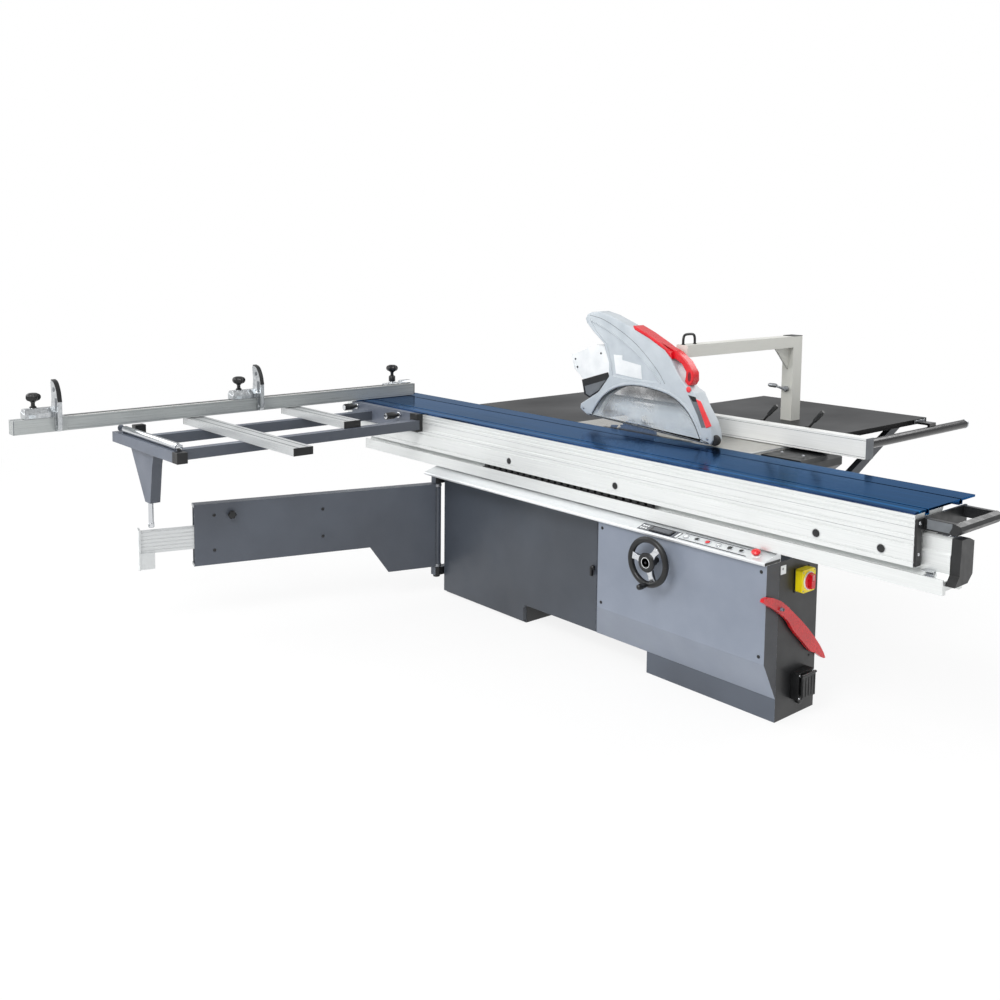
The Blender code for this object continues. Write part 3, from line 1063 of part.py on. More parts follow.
def make_handwheel():
    """Tilt handwheel with three spokes, its shaft and the spinning knob."""
    plane = COVER_NEAR - HANDWHEEL_GAP - 0.032
    centre = (HANDWHEEL_X, 0.0, HANDWHEEL_Z)
    rim = HANDWHEEL_RADIUS - RIM_HALF
    section = [(rim + RIM_HALF * math.cos(a), plane + RIM_HALF * math.sin(a))
               for a in [2 * math.pi * k / 8 for k in range(8)]]
    hub = turned([(0.020, plane + 0.030), (0.020, plane - 0.006), (0.014, plane - 0.010)], "Y", centre, 20)
    shaft = rod(SHAFT_RADIUS, "Y", centre, plane, COVER_NEAR + SHAFT_INSIDE, 16)
    spokes = []
    for number in range(3):
        spoke = block((0.010, -0.005, -0.009), (rim, 0.005, 0.009))
        turn = Matrix.Rotation(math.radians(SPOKE_ANGLE + 120 * number), 4, "Y")
        spokes.append(stand(spoke, Matrix.Translation((HANDWHEEL_X, plane + 0.004, HANDWHEEL_Z)) @ turn))
    shape("handwheel", ring(section, "Y", centre, 36), "black_plastic", add=spokes + [hub, shaft],
          pivot=(HANDWHEEL_X, plane, HANDWHEEL_Z))
    angle = math.radians(KNOB_ANGLE)
    x, z = HANDWHEEL_X + rim * math.cos(angle), HANDWHEEL_Z + rim * math.sin(angle)
    start = plane - RIM_HALF - 0.001
    knob = turned([(0.006, start), (0.009, start - 0.004), (0.012, start - 0.030), (0.010, start - 0.044),
                   (0.005, start - 0.048)], "Y", (x, 0, z), 18)
    shape("handwheel_knob", knob, "black_plastic", pivot=(x, start, z))


def make_saw_unit():
    """Tilting trunnion, lifting carrier with its motor, both blades and the belt."""
    near = PLATE_FAR + 0.003
    far = near + TRUNNION_THICK
    top = TABLE_UNDERSIDE - 0.022
    low = TRUNNION_BOTTOM
    side = TRUNNION_SIDE
    frame = [(TRUNNION_LEFT, top), (TRUNNION_LEFT, low), (TRUNNION_RIGHT, low), (TRUNNION_RIGHT, top),
             (TRUNNION_RIGHT - side, top), (TRUNNION_RIGHT - side, low + side),
             (TRUNNION_LEFT + side, low + side), (TRUNNION_LEFT + side, top)]
    quadrant = [(far - 0.002, top), (far - 0.002, top - 0.100), (far + 0.110, top - 0.100),
                (far + 0.110, top - 0.040)]
    quadrants = [prism(quadrant, "X", x, x + 0.012) for x in (TRUNNION_LEFT, TRUNNION_RIGHT - 0.012)]
    shape("saw_trunnion", prism(frame, "Y", near, far), "steel", add=quadrants,
          pivot=(0.0, BLADE_PLANE, TABLE_HEIGHT))

    plate = block((TRUNNION_LEFT + 0.020, PLATE_NEAR, PLATE_BOTTOM),
                  (TRUNNION_RIGHT - 0.020, PLATE_FAR, PLATE_TOP))
    centre = (0, 0, BLADE_Z)
    scorer_centre = (SCORER_X, 0, SCORER_Z)
    housing = rod(0.028, "Y", centre, PLATE_NEAR + 0.001, PULLEY_NEAR - 0.008, 24)
    scorer_housing = rod(0.020, "Y", scorer_centre, PLATE_NEAR + 0.001, PLATE_FAR + 0.045, 20)
    scorer_tab = block((SCORER_X - 0.018, PLATE_NEAR, PLATE_TOP - 0.008),
                       (SCORER_X + 0.018, PLATE_FAR, SCORER_Z))
    seat = block((MOTOR_X - 0.070, MOTOR_NEAR + 0.010, MOTOR_TOP),
                 (MOTOR_X + 0.040, MOTOR_FAR - 0.040, MOTOR_TOP + 0.012))
    arm = block((MOTOR_X - 0.080, PLATE_NEAR + 0.001, MOTOR_TOP - 0.010),
                (MOTOR_X - 0.066, MOTOR_FAR - 0.040, MOTOR_TOP + 0.045))
    bores = [rod(ARBOR_RADIUS + 0.0006, "Y", centre, BLADE_PLANE, BLADE_PLANE + 0.2, 20),
             rod(SCORER_ARBOR + 0.0006, "Y", scorer_centre, BLADE_PLANE, BLADE_PLANE + 0.2, 18)]
    inner = BLADE_RADIUS + KNIFE_GAP
    outer = inner + KNIFE_WIDTH
    knife = (arc((0, BLADE_Z), outer, 148, 200, 8) + [(-0.208, 0.715), (-0.208, 0.665), (-0.170, 0.665)]
             + arc((0, BLADE_Z), inner, 205, 138, 8))
    knife_solid = prism(knife, "Y", BLADE_PLANE - KNIFE_THICK / 2, BLADE_PLANE + KNIFE_THICK / 2)
    knife_boss = block((-0.215, BLADE_PLANE - 0.001, 0.660), (-0.165, PLATE_NEAR + 0.001, 0.720))
    shape("saw_carrier", plate, "steel",
          add=[housing, scorer_housing, scorer_tab, seat, arm, knife_boss, knife_solid], cut=bores,
          pivot=(0.0, PLATE_NEAR, BLADE_Z))

    half = BLADE_THICK / 2
    teeth = []
    root = BLADE_RADIUS - GULLET
    step = 2 * math.pi / TEETH
    for number in range(TEETH):
        angle = step * number
        teeth.append((BLADE_RADIUS * math.cos(angle), BLADE_Z + BLADE_RADIUS * math.sin(angle)))
        lead = angle + step * 0.15
        teeth.append((root * math.cos(lead), BLADE_Z + root * math.sin(lead)))
    centre = (0, BLADE_PLANE, BLADE_Z)
    arbor = turned([(0.028, -0.012), (0.036, -0.007), (0.036, 0.010), (ARBOR_RADIUS, 0.010),
                    (ARBOR_RADIUS, 0.130)],
                   "Y", centre, 24)
    pulley = rod(PULLEY_RADIUS, "Y", (0, 0, BLADE_Z), PULLEY_NEAR, PULLEY_FAR, 32)
    shape("main_blade", prism(teeth, "Y", BLADE_PLANE - half, BLADE_PLANE + half), "steel",
          add=[arbor, pulley],
          pivot=centre)

    centre = (SCORER_X, BLADE_PLANE, SCORER_Z)
    disc = turned([(SCORER_RADIUS, -half), (SCORER_RADIUS, half)], "Y", centre, 36)
    spindle = turned([(0.018, -0.008), (0.018, 0.010), (SCORER_ARBOR, 0.010), (SCORER_ARBOR, 0.085)], "Y",
                     centre, 20)
    shape("scoring_blade", disc, "steel", add=[spindle], pivot=centre)

    centre = (MOTOR_X, 0, MOTOR_Z)
    casing = turned([(MOTOR_RADIUS - 0.012, MOTOR_NEAR), (MOTOR_RADIUS, MOTOR_NEAR + 0.008),
                     (MOTOR_RADIUS, MOTOR_FAR - 0.030), (MOTOR_RADIUS - 0.015, MOTOR_FAR)], "Y", centre, 28)
    bore = rod(0.0125, "Y", centre, MOTOR_NEAR - 0.01, MOTOR_NEAR + 0.080, 18)
    pad = block((MOTOR_X - 0.040, MOTOR_NEAR + 0.01, MOTOR_Z),
                (MOTOR_X + 0.040, MOTOR_FAR - 0.04, MOTOR_TOP - FIT))
    shape("saw_motor", casing, "black_plastic", add=[pad], cut=[bore], pivot=(MOTOR_X, MOTOR_NEAR, MOTOR_Z))
    disc = turned([(MOTOR_PULLEY_RADIUS, PULLEY_NEAR), (MOTOR_PULLEY_RADIUS, PULLEY_FAR), (0.012, PULLEY_FAR),
                   (0.012, MOTOR_NEAR + 0.070)], "Y", centre, 32)
    shape("motor_pulley", disc, "steel", pivot=(MOTOR_X, PULLEY_NEAR, MOTOR_Z))

    gap = 0.0006
    shape("drive_belt", prism(loop(BELT_THICK + gap), "Y", PULLEY_NEAR + 0.003, PULLEY_FAR - 0.003), "rubber",
          cut=[prism(loop(gap), "Y", PULLEY_NEAR - 0.01, PULLEY_FAR + 0.01)],
          pivot=(MOTOR_X, PULLEY_NEAR, MOTOR_Z))


def loop(extra):
    """Outline round the two belt pulleys with some extra radius."""
    low, high = Vector((MOTOR_X, MOTOR_Z)), Vector((0.0, BLADE_Z))
    line = high - low
    heading = math.degrees(math.atan2(line.y, line.x))
    lean = math.degrees(math.asin((MOTOR_PULLEY_RADIUS - PULLEY_RADIUS) / line.length))
    grow = 1.0 / math.cos(math.pi / 32)
    return (arc(high, (PULLEY_RADIUS + extra) * grow, heading - 90 + lean, heading + 90 - lean, 12)
            + arc(low, (MOTOR_PULLEY_RADIUS + extra) * grow, heading + 90 - lean, heading + 270 + lean, 16))


# ---------------------------------------------------------------- overhead guard


def make_guard():
    """Hollow blade hood with a window, red handle, dust outlet, post and beam."""
    rear = [(-0.283, 0.9165), (-0.327, 0.941), (-0.324, 0.964), (-0.214, 1.029), (-0.151, 1.105),
            (-0.153, 1.165), (-0.184, 1.249), (-0.257, 1.304), (-0.294, 1.337), (-0.300, 1.352),
            (-0.268, 1.385), (-0.215, 1.394), (-0.150, 1.381), (-0.018, 1.335)]
    ridge = [(0.085, 1.296), (0.172, 1.252), (0.200, 1.222), (0.238, 1.166), (0.268, 1.130)]
    front = [(0.300, 1.103), (0.339, 1.085), (0.371, 1.030), (0.412, 0.973), (0.430, 0.930), (0.434, 0.900),
             (0.425, 0.880), (0.400, 0.878)]
    outline = rear + ridge + front
    wall = GUARD_WALL
    cavity = prism(inset(outline, wall), "Y", GUARD_NEAR + wall, GUARD_FAR - wall)
    mouth = prism([(-0.270, 0.850), (0.395, 0.850), (0.395, 0.885), (-0.270, 0.925)], "Y",
                  GUARD_NEAR + wall, GUARD_FAR - wall)
    arch = [(-0.247, 0.922), (-0.178, 1.016), (-0.098, 1.063), (-0.020, 1.080), (0.070, 1.081),
            (0.199, 1.062), (0.283, 1.019), (0.336, 0.961), (0.362, 0.917)]
    window = prism(arch, "Y", GUARD_NEAR - 0.01, GUARD_FAR + 0.01)
    tilt_room = block((-0.240, BLADE_PLANE + 0.010, 0.850), (0.140, GUARD_FAR + 0.01, 0.927))
    shape("guard_hood", prism(outline, "Y", GUARD_NEAR, GUARD_FAR), "guard_grey",
          cut=[cavity, mouth, window, tilt_room], pivot=(POST_X, GUARD_FAR, BEAM_TOP - BEAM_HEIGHT))
    pane = inset(arch, -0.004)
    start = GUARD_NEAR + wall + FIT
    shape("guard_window", prism(pane, "Y", start, start + 0.003), "clear_plastic", pivot=(0.0, start, 1.0))

    middle = (GUARD_NEAR + GUARD_FAR) / 2
    outer = [(-0.040, 1.3475), (0.060, 1.312), (0.145, 1.274), (0.224, 1.246), (0.278, 1.208), (0.311, 1.165),
             (0.308, 1.132), (0.292, 1.117), (0.284, 1.119)]
    inner = [(0.277, 1.126), (0.290, 1.148), (0.288, 1.170), (0.255, 1.204), (0.220, 1.215), (0.201, 1.2225),
             (0.1728, 1.2532), (0.0855, 1.2972), (-0.0175, 1.3362)]
    shape("guard_handle", prism(outer + inner, "Y", middle - 0.014, middle + 0.014), "red_plastic",
          pivot=(0.200, middle, 1.2225))
    box = [(-0.392, 1.182), (-0.244, 1.241), (-0.185, 1.240), (-0.1545, 1.165), (-0.1525, 1.108),
           (-0.2155, 1.032), (-0.272, 1.000), (-0.300, 1.012), (-0.316, 1.078), (-0.370, 1.121)]
    shape("dust_outlet", prism(box, "Y", GUARD_NEAR + OUTLET_INSET, GUARD_FAR - OUTLET_INSET), "white_paint",
          pivot=(-0.215, middle, 1.032))

    half = POST_WIDTH / 2
    low = POST_BOTTOM
    post = block((POST_X - half, POST_NEAR, low), (POST_X + half, POST_NEAR + POST_DEPTH, BEAM_TOP))
    beam = block((POST_X - half, GUARD_FAR + 0.0015, BEAM_TOP - BEAM_HEIGHT),
                 (POST_X + half, POST_NEAR + 0.01, BEAM_TOP))
    under = BEAM_TOP - BEAM_HEIGHT + 0.001
    gusset = prism([(POST_NEAR + 0.002, under), (POST_NEAR - BRACE, under),
                    (POST_NEAR + 0.002, under - BRACE)], "X",
                   POST_X - 0.004, POST_X + 0.004)
    foot = block((POST_X - 0.025, BASE_FAR + FIT, low), (POST_X + 0.025, POST_NEAR + 0.01, low + POST_FOOT))
    shape("guard_post", post, "beam_paint", add=[beam, gusset, foot], pivot=(POST_X, POST_NEAR, TABLE_HEIGHT))


# ---------------------------------------------------------------- whole machine


def centre_on_floor():
    """Move everything so the floor point under the middle of the bounding box is the origin."""
    bpy.context.view_layer.update()
    pieces = [o for o in bpy.data.objects if o.type == "MESH"]
    corners = [o.matrix_world @ v.co for o in pieces for v in o.data.vertices]
    low = [min(c[k] for c in corners) for k in range(3)]
    high = [max(c[k] for c in corners) for k in range(3)]
    shift = Vector(((low[0] + high[0]) / 2, (low[1] + high[1]) / 2, low[2]))
    for piece in pieces:
        piece.location -= shift


make_base()
make_cabinet()
make_cover()
make_door()
make_fascia()
make_end_face()
make_tables()
make_rail()
make_carriage()
make_outrigger()
make_fence()
make_swing_arm()
make_rip_fence()
make_handwheel()
make_saw_unit()
make_guard()
centre_on_floor()
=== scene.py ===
"""Looks for the sliding-table panel saw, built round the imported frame."""
import math

import bmesh
import bpy
from mathutils import Matrix, Vector


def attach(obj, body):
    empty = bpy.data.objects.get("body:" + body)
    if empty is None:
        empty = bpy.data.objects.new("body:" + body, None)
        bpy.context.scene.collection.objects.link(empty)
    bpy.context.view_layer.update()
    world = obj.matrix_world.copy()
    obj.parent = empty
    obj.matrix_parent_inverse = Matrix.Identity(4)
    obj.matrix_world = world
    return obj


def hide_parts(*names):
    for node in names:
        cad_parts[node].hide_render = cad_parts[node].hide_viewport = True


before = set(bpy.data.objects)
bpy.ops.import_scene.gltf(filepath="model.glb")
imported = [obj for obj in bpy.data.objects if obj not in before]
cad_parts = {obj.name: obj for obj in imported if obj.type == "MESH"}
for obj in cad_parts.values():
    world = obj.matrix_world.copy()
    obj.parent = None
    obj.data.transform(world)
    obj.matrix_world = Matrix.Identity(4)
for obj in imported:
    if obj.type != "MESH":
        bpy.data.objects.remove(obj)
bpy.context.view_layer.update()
SHIFT = Vector((0.011, 0.2525, 0.0))     # from the machine datum to the frame


# ---------------------------------------------------------------- colours
def linear(c):
    c /= 255.0
    return c / 12.92 if c <= 0.04045 else ((c + 0.055) / 1.055) ** 2.4


def rgb(r, g, b):
    return (linear(r), linear(g), linear(b), 1.0)


# ---------------------------------------------------------------- materials
class Graph:
    """A small helper for node trees."""

    def __init__(self, name):
        self.material = bpy.data.materials.new(name)
        self.material.use_nodes = True
        self.tree = self.material.node_tree
        self.shader = self.tree.nodes["Principled BSDF"]
        self.coords = self.tree.nodes.new("ShaderNodeTexCoord").outputs["Object"]

    def node(self, kind, **settings):
        made = self.tree.nodes.new(kind)
        for key, value in settings.items():
            setattr(made, key, value)
        return made

    def link(self, source, target):
        self.tree.links.new(source, target)

    def noise(self, scale, stretch=(1, 1, 1), detail=4.0, rough=0.5):
        mapping = self.node("ShaderNodeMapping")
        mapping.inputs["Scale"].default_value = stretch
        self.link(self.coords, mapping.inputs["Vector"])
        made = self.node("ShaderNodeTexNoise")
        made.inputs["Scale"].default_value = scale
        made.inputs["Detail"].default_value = detail
        made.inputs["Roughness"].default_value = rough
        self.link(mapping.outputs["Vector"], made.inputs["Vector"])
        return made.outputs["Fac"]

    def spread(self, value, low, high, out_low=0.0, out_high=1.0):
        made = self.node("ShaderNodeMapRange")
        made.inputs["From Min"].default_value = low
        made.inputs["From Max"].default_value = high
        made.inputs["To Min"].default_value = out_low
        made.inputs["To Max"].default_value = out_high
        self.link(value, made.inputs["Value"])
        return made.outputs["Result"]

    def mix(self, factor, first, second):
        made = self.node("ShaderNodeMix", data_type="RGBA")
        self.link(factor, made.inputs["Factor"])
        for socket, value in ((made.inputs["A"], first), (made.inputs["B"], second)):
            if isinstance(value, tuple):
                socket.default_value = value
            else:
                self.link(value, socket)
        return made.outputs["Result"]

    def math(self, kind, first, second=None):
        made = self.node("ShaderNodeMath", operation=kind)
        for socket, value in ((made.inputs[0], first), (made.inputs[1], second)):
            if isinstance(value, (int, float)):
                socket.default_value = value
            elif value is not None:
                self.link(value, socket)
        return made.outputs[0]

    def part(self, vector, which):
        parts = self.node("ShaderNodeSeparateXYZ")
        self.link(vector, parts.inputs[0])
        return parts.outputs[which]

    def axis(self, which):
        return self.part(self.coords, which)

    def facing(self, which):
        return self.part(self.node("ShaderNodeNewGeometry").outputs["True Normal"], which)

    def rounded(self, radius):
        """Normal that is rounded over the edges."""
        bevel = self.node("ShaderNodeBevel", samples=4)
        bevel.inputs["Radius"].default_value = radius
        return bevel.outputs["Normal"]

    def edges(self, radius):
        """Near 1 along sharp edges, 0 on flat faces."""
        geometry = self.node("ShaderNodeNewGeometry")
        dot = self.node("ShaderNodeVectorMath", operation="DOT_PRODUCT")
        self.link(self.rounded(radius), dot.inputs[0])
        self.link(geometry.outputs["True Normal"], dot.inputs[1])
        return self.spread(dot.outputs["Value"], 1.0, 0.86)

    def worn(self, colour, radius, amount, tone):
        """Another tone along the edges, by a varying amount."""
        return self.mix(self.math("MULTIPLY", self.edges(radius), amount), colour, rgb(*tone))

    def finish(self, colour, rough, bump, strength, radius=0.0012, metallic=0.0, coat=0.0, distance=0.001):
        raised = self.node("ShaderNodeBump")
        raised.inputs["Strength"].default_value = strength
        raised.inputs["Distance"].default_value = distance
        self.link(bump, raised.inputs["Height"])
        self.link(self.rounded(radius), raised.inputs["Normal"])
        self.link(raised.outputs["Normal"], self.shader.inputs["Normal"])
        self.link(colour, self.shader.inputs["Base Color"])
        self.link(rough, self.shader.inputs["Roughness"])
        self.shader.inputs["Metallic"].default_value = metallic
        self.shader.inputs["Coat Weight"].default_value = coat
        self.shader.inputs["Coat Roughness"].default_value = 0.15
        return self.material


def paint(name, base, dark, worn=(190, 194, 200), wear=0.35, end=None):
    """Powder coat with orange peel, faint blotches and worn edges; end is a painted shade colour for faces
    that look along +X.
    """
    g = Graph(name)
    cloud = g.noise(3.2, detail=5)
    colour = g.mix(g.spread(cloud, 0.35, 0.65), rgb(*dark), rgb(*base))
    # Painted shade: faces that look along +X are mixed towards the darker end colour.
    if end:
        colour = g.mix(g.spread(g.facing("X"), 0.6, 0.8), colour, rgb(*end))
    chips = g.spread(g.noise(55, detail=3), 0.46, 0.62, 0.0, wear)
    colour = g.worn(colour, 0.0016, chips, worn)
    gloss = g.spread(g.noise(9, detail=6), 0.3, 0.7, 0.35, 0.51)
    return g.finish(colour, gloss, g.noise(900, detail=2), 0.12, coat=0.15, distance=0.0004)


def drawn_metal(name, base, dark, along=(0.4, 60, 60), rough=0.3, metallic=0.85, bump=0.08, radius=0.0008):
    """Extruded or brushed metal: fine lines along one axis, a few scratches and brighter edges."""
    g = Graph(name)
    lines = g.noise(16, along, detail=6, rough=0.65)
    cloud = g.noise(2.1, detail=4)
    colour = g.mix(g.spread(lines, 0.32, 0.68), rgb(*dark), rgb(*base))
    colour = g.mix(g.spread(cloud, 0.45, 0.75, 0.0, 0.5), colour, rgb(*[max(0, c - 22) for c in base]))
    colour = g.worn(colour, 0.001, g.spread(cloud, 0.3, 0.7, 0.2, 0.7), (250, 251, 252))
    gloss = g.spread(lines, 0.3, 0.7, rough - 0.08, rough + 0.12)
    return g.finish(colour, gloss, lines, bump, radius=radius, metallic=metallic, distance=0.0005)


def plastic(name, base, dark, rough=0.4, grain=1400, bump=0.1, coat=0.0, radius=0.0012):
    """Moulded plastic with fine texture, handling marks and paler rubbed edges."""
    g = Graph(name)
    cloud = g.noise(14, detail=5)
    colour = g.mix(g.spread(cloud, 0.35, 0.7), rgb(*base), rgb(*dark))
    colour = g.worn(colour, 0.001, g.spread(cloud, 0.4, 0.6, 0.1, 0.5), [min(255, c + 38) for c in base])
    gloss = g.spread(g.noise(30, detail=5), 0.3, 0.7, rough - 0.08, rough + 0.1)
    return g.finish(colour, gloss, g.noise(grain, detail=2), bump, radius=radius, coat=coat, distance=0.0003)


def ground_iron(name):
    """Ground cast iron: crossing grinding marks, oil haze and a few dark pores."""
    g = Graph(name)
    first = g.noise(20, (1.5, 55, 55), detail=6, rough=0.7)
    second = g.noise(20, (55, 1.5, 55), detail=6, rough=0.7)
    marks = g.math("MULTIPLY", first, second)
    colour = g.mix(g.spread(marks, 0.16, 0.36), rgb(168, 166, 160), rgb(226, 225, 220))
    pores = g.spread(g.noise(420, detail=1), 0.70, 0.78, 0.0, 0.5)
    colour = g.mix(pores, colour, rgb(96, 94, 90))
    haze = g.spread(g.noise(4, detail=5), 0.3, 0.7, 0.24, 0.44)
    return g.finish(colour, haze, marks, 0.12, metallic=0.75, distance=0.0004)


def blue_top(name):
    """Blue anodised top: mirror bright, with long drawn streaks and a painted highlight along the T slots."""
    g = Graph(name)
    streaks = g.noise(7, (0.35, 22, 1), detail=6, rough=0.6)
    patches = g.noise(1.6, (0.8, 3.0, 1), detail=4)
    colour = g.mix(g.spread(streaks, 0.35, 0.65), rgb(34, 58, 96), rgb(58, 92, 140))
    colour = g.mix(g.spread(patches, 0.46, 0.60, 0.0, 0.6), colour, rgb(36, 50, 84))
    # Painted highlight: a brighter blue along the two T slots, broken up by the streaks.
    y = g.axis("Y")
    slots = []
    for place in (-0.405, -0.362):
        off = g.math("ABSOLUTE", g.math("SUBTRACT", y, place + SHIFT.y))
        slots.append(g.spread(off, 0.007, 0.013, 1.0, 0.0))
    near = g.math("MAXIMUM", *slots)
    lit = g.math("MULTIPLY", near, g.spread(streaks, 0.3, 0.7, 0.5, 1.0))
    colour = g.mix(lit, colour, rgb(52, 140, 206))
    gloss = g.spread(streaks, 0.3, 0.7, 0.10, 0.24)
    g.shader.inputs["Specular Tint"].default_value = (0.42, 0.58, 0.80, 1.0)
    return g.finish(colour, gloss, streaks, 0.03, radius=0.0005, metallic=1.0, distance=0.0004)


def black_sheet(name):
    """Black coated table: satin grain, dust haze and light scuffs along the feed direction."""
    g = Graph(name)
    haze = g.noise(2.4, (1, 0.6, 1), detail=6)
    scuffs = g.spread(g.noise(9, (0.4, 26, 1), detail=5, rough=0.7), 0.60, 0.78, 0.0, 0.35)
    colour = g.mix(g.spread(haze, 0.35, 0.7), rgb(8, 9, 10), rgb(18, 19, 21))
    colour = g.mix(scuffs, colour, rgb(44, 46, 48))
    colour = g.worn(colour, 0.0015, g.spread(haze, 0.3, 0.6, 0.2, 0.8), (150, 152, 152))
    gloss = g.spread(haze, 0.3, 0.7, 0.28, 0.42)
    g.shader.inputs["Specular IOR Level"].default_value = 0.14
    return g.finish(colour, gloss, g.noise(700, detail=2), 0.1, distance=0.0003)


def clear(name):
    """Scuffed clear plastic pane with a misted lower part, painted darker towards the top as painted shade
    under the hood.
    """
    g = Graph(name)
    scratches = g.noise(16, (0.8, 1, 14), detail=8, rough=0.75)
    mist = g.noise(7, detail=5)
    colour = g.mix(g.spread(mist, 0.3, 0.7), rgb(236, 242, 245), rgb(206, 214, 219))
    # Painted shade: the pane turns dark grey towards the top, under the hood.
    colour = g.mix(g.spread(g.axis("Z"), 0.985, 1.050), colour, rgb(44, 49, 54))
    material = g.finish(colour, g.spread(scratches, 0.35, 0.7, 0.03, 0.30), scratches, 0.10, radius=0.0006)
    low = g.spread(g.axis("Z"), 0.90, 1.04, 1.0, 0.75)
    g.link(g.math("MULTIPLY", g.spread(mist, 0.36, 0.60, 0.10, 0.62), low), g.shader.inputs["Alpha"])
    g.shader.inputs["IOR"].default_value = 1.5
    return material


def scale_tape(name, axis, pitch):
    """Pale measuring tape with plain tick marks."""
    g = Graph(name)
    place = g.math("FRACT", g.math("DIVIDE", g.axis(axis), pitch))
    tick = g.spread(g.math("ABSOLUTE", g.math("SUBTRACT", place, 0.5)), 0.06, 0.10, 1.0, 0.0)
    grime = g.noise(30, detail=5)
    paper = g.mix(g.spread(grime, 0.35, 0.7), rgb(238, 238, 232), rgb(214, 214, 206))
    colour = g.mix(tick, paper, rgb(40, 40, 42))
    return g.finish(colour, g.spread(grime, 0.3, 0.7, 0.35, 0.5), grime, 0.05, radius=0.0003)


# The end colours passed to paint() are painted shade for faces that look along +X.
M = {
    "slate": paint("light_slate_paint", (134, 142, 156), (122, 130, 144), worn=(196, 200, 206),
        end=(46, 49, 55)),
    "door": paint("door_paint", (66, 72, 81), (58, 63, 71)),
    "cabinet": paint("cabinet_paint", (80, 87, 98), (71, 77, 87), end=(20, 21, 23)),
    "arm": paint("arm_paint", (77, 83, 93), (69, 74, 83), wear=0.6),
    "frame": paint("frame_paint", (98, 105, 118), (87, 93, 105), wear=0.5, end=(70, 75, 84)),
    "base": paint("base_paint", (60, 65, 73), (52, 56, 63)),
    "extrusion": drawn_metal("extruded_aluminium", (240, 242, 241), (216, 219, 218), (0.2, 60, 60),
        rough=0.34, metallic=0.5, bump=0.03),
    "fence": drawn_metal("fence_aluminium", (186, 190, 189), (164, 168, 168), (70, 0.25, 70), rough=0.30,
        metallic=0.5, bump=0.03),
    "bar": drawn_metal("bar_aluminium", (214, 216, 216), (192, 195, 196), (0.3, 70, 70), rough=0.32,
        metallic=0.45, bump=0.03),
    "rip": drawn_metal("rip_aluminium", (244, 245, 243), (230, 231, 229), (0.3, 40, 40), rough=0.42,
        metallic=0.1, bump=0.02),
    "casting": drawn_metal("polished_casting", (214, 217, 219), (150, 154, 158), (6, 6, 6), rough=0.16,
        metallic=0.95, bump=0.12, radius=0.0025),
    "fascia": drawn_metal("fascia_aluminium", (236, 238, 239), (210, 213, 215), (0.3, 70, 70), rough=0.36,
        metallic=0.45),
    "chrome": drawn_metal("bright_chrome", (226, 228, 231), (192, 195, 199), (0.5, 40, 40), rough=0.12,
        metallic=1.0, bump=0.02),
    "steel": drawn_metal("turned_steel", (176, 179, 183), (128, 131, 136), (30, 0.6, 30), rough=0.28,
        metallic=0.9),
    "iron": ground_iron("ground_cast_iron"),
    "blue": blue_top("blue_anodised_top"),
    "table": black_sheet("black_coated_table"),
    "gloss_black": plastic("gloss_black_tube", (8, 8, 9), (16, 16, 18), rough=0.2, grain=300, bump=0.03),
    "stick": plastic("stick_red", (214, 4, 20), (186, 2, 14), rough=0.24, coat=0.2),
    "black": plastic("black_plastic", (14, 15, 16), (26, 27, 28), rough=0.38),
    "satin_black": plastic("satin_black_casting", (18, 19, 20), (32, 33, 35), rough=0.36, grain=500,
        bump=0.2),
    "grey_pad": plastic("grey_pad", (112, 116, 120), (92, 96, 100), rough=0.5),
    "red": plastic("red_plastic", (222, 8, 28), (194, 5, 20), rough=0.28, coat=0.25),
    "recess": plastic("dark_red_recess", (120, 16, 30), (96, 10, 22), rough=0.5),
    "coral": plastic("red_inlay", (244, 70, 72), (226, 50, 56), rough=0.35),
    "yellow": plastic("yellow_plastic", (252, 232, 20), (240, 212, 14), rough=0.32),
    "guard": plastic("guard_plastic", (192, 199, 204), (178, 186, 192), rough=0.36, grain=900, bump=0.10,
        coat=0.2, radius=0.003),
    "white": plastic("white_plastic", (238, 240, 240), (222, 225, 226), rough=0.4),
    "beam": paint("beam_paint", (222, 222, 215), (206, 206, 199), worn=(240, 240, 238),
        end=(214, 214, 207)),
    "rubber": plastic("rubber", (24, 24, 25), (36, 36, 37), rough=0.75, grain=300, bump=0.35),
    "screen": plastic("dark_screen", (24, 34, 56), (14, 20, 34), rough=0.14, coat=0.6),
    "clear": clear("clear_pane"),
    "tape_y": scale_tape("fence_scale", "Y", 0.010),
}

LOOK_NODES = {
    "base": "base_frame",
    "cabinet": "cabinet_shell",
    "slate": "front_cover",
    "door": "cabinet_door",
    "black": "door_latch power_inlet inlet_lid scorer_button roller_cage handwheel_knob clamp_knob_1 "
             "clamp_knob_2 stop_knob_1 stop_knob_2 cam_lever_1 cam_lever_2",
    "fascia": "control_fascia",
    "yellow": "main_switch_plate",
    "red": "main_switch_knob estop_button stop_button guard_handle",
    "stick": "push_stick",
    "white": "start_button dust_outlet",
    "extrusion": "fixed_rail carriage_body",
    "satin_black": "rail_end_cap handwheel push_handle rip_fence_head saw_motor",
    "iron": "main_table",
    "table": "outfeed_table side_table",
    "gloss_black": "rip_rail",
    "beam": "guard_post",
    "blue": "carriage_top",
    "frame": "outrigger_frame outrigger_leg",
    "bar": "support_bar_1 support_bar_2 inner_arm",
    "fence": "crosscut_fence fence_extension",
    "chrome": "outrigger_roller",
    "casting": "stop_carrier_1 stop_carrier_2 flip_arm_1 flip_arm_2",
    "arm": "swing_arm",
    "rip": "rip_fence",
    "steel": "saw_trunnion saw_carrier main_blade scoring_blade motor_pulley",
    "rubber": "drive_belt",
    "guard": "guard_hood",
    "clear": "guard_window",
}
for look, names in LOOK_NODES.items():
    for name in names.split():
        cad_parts[name].data.materials.clear()
        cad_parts[name].data.materials.append(M[look])


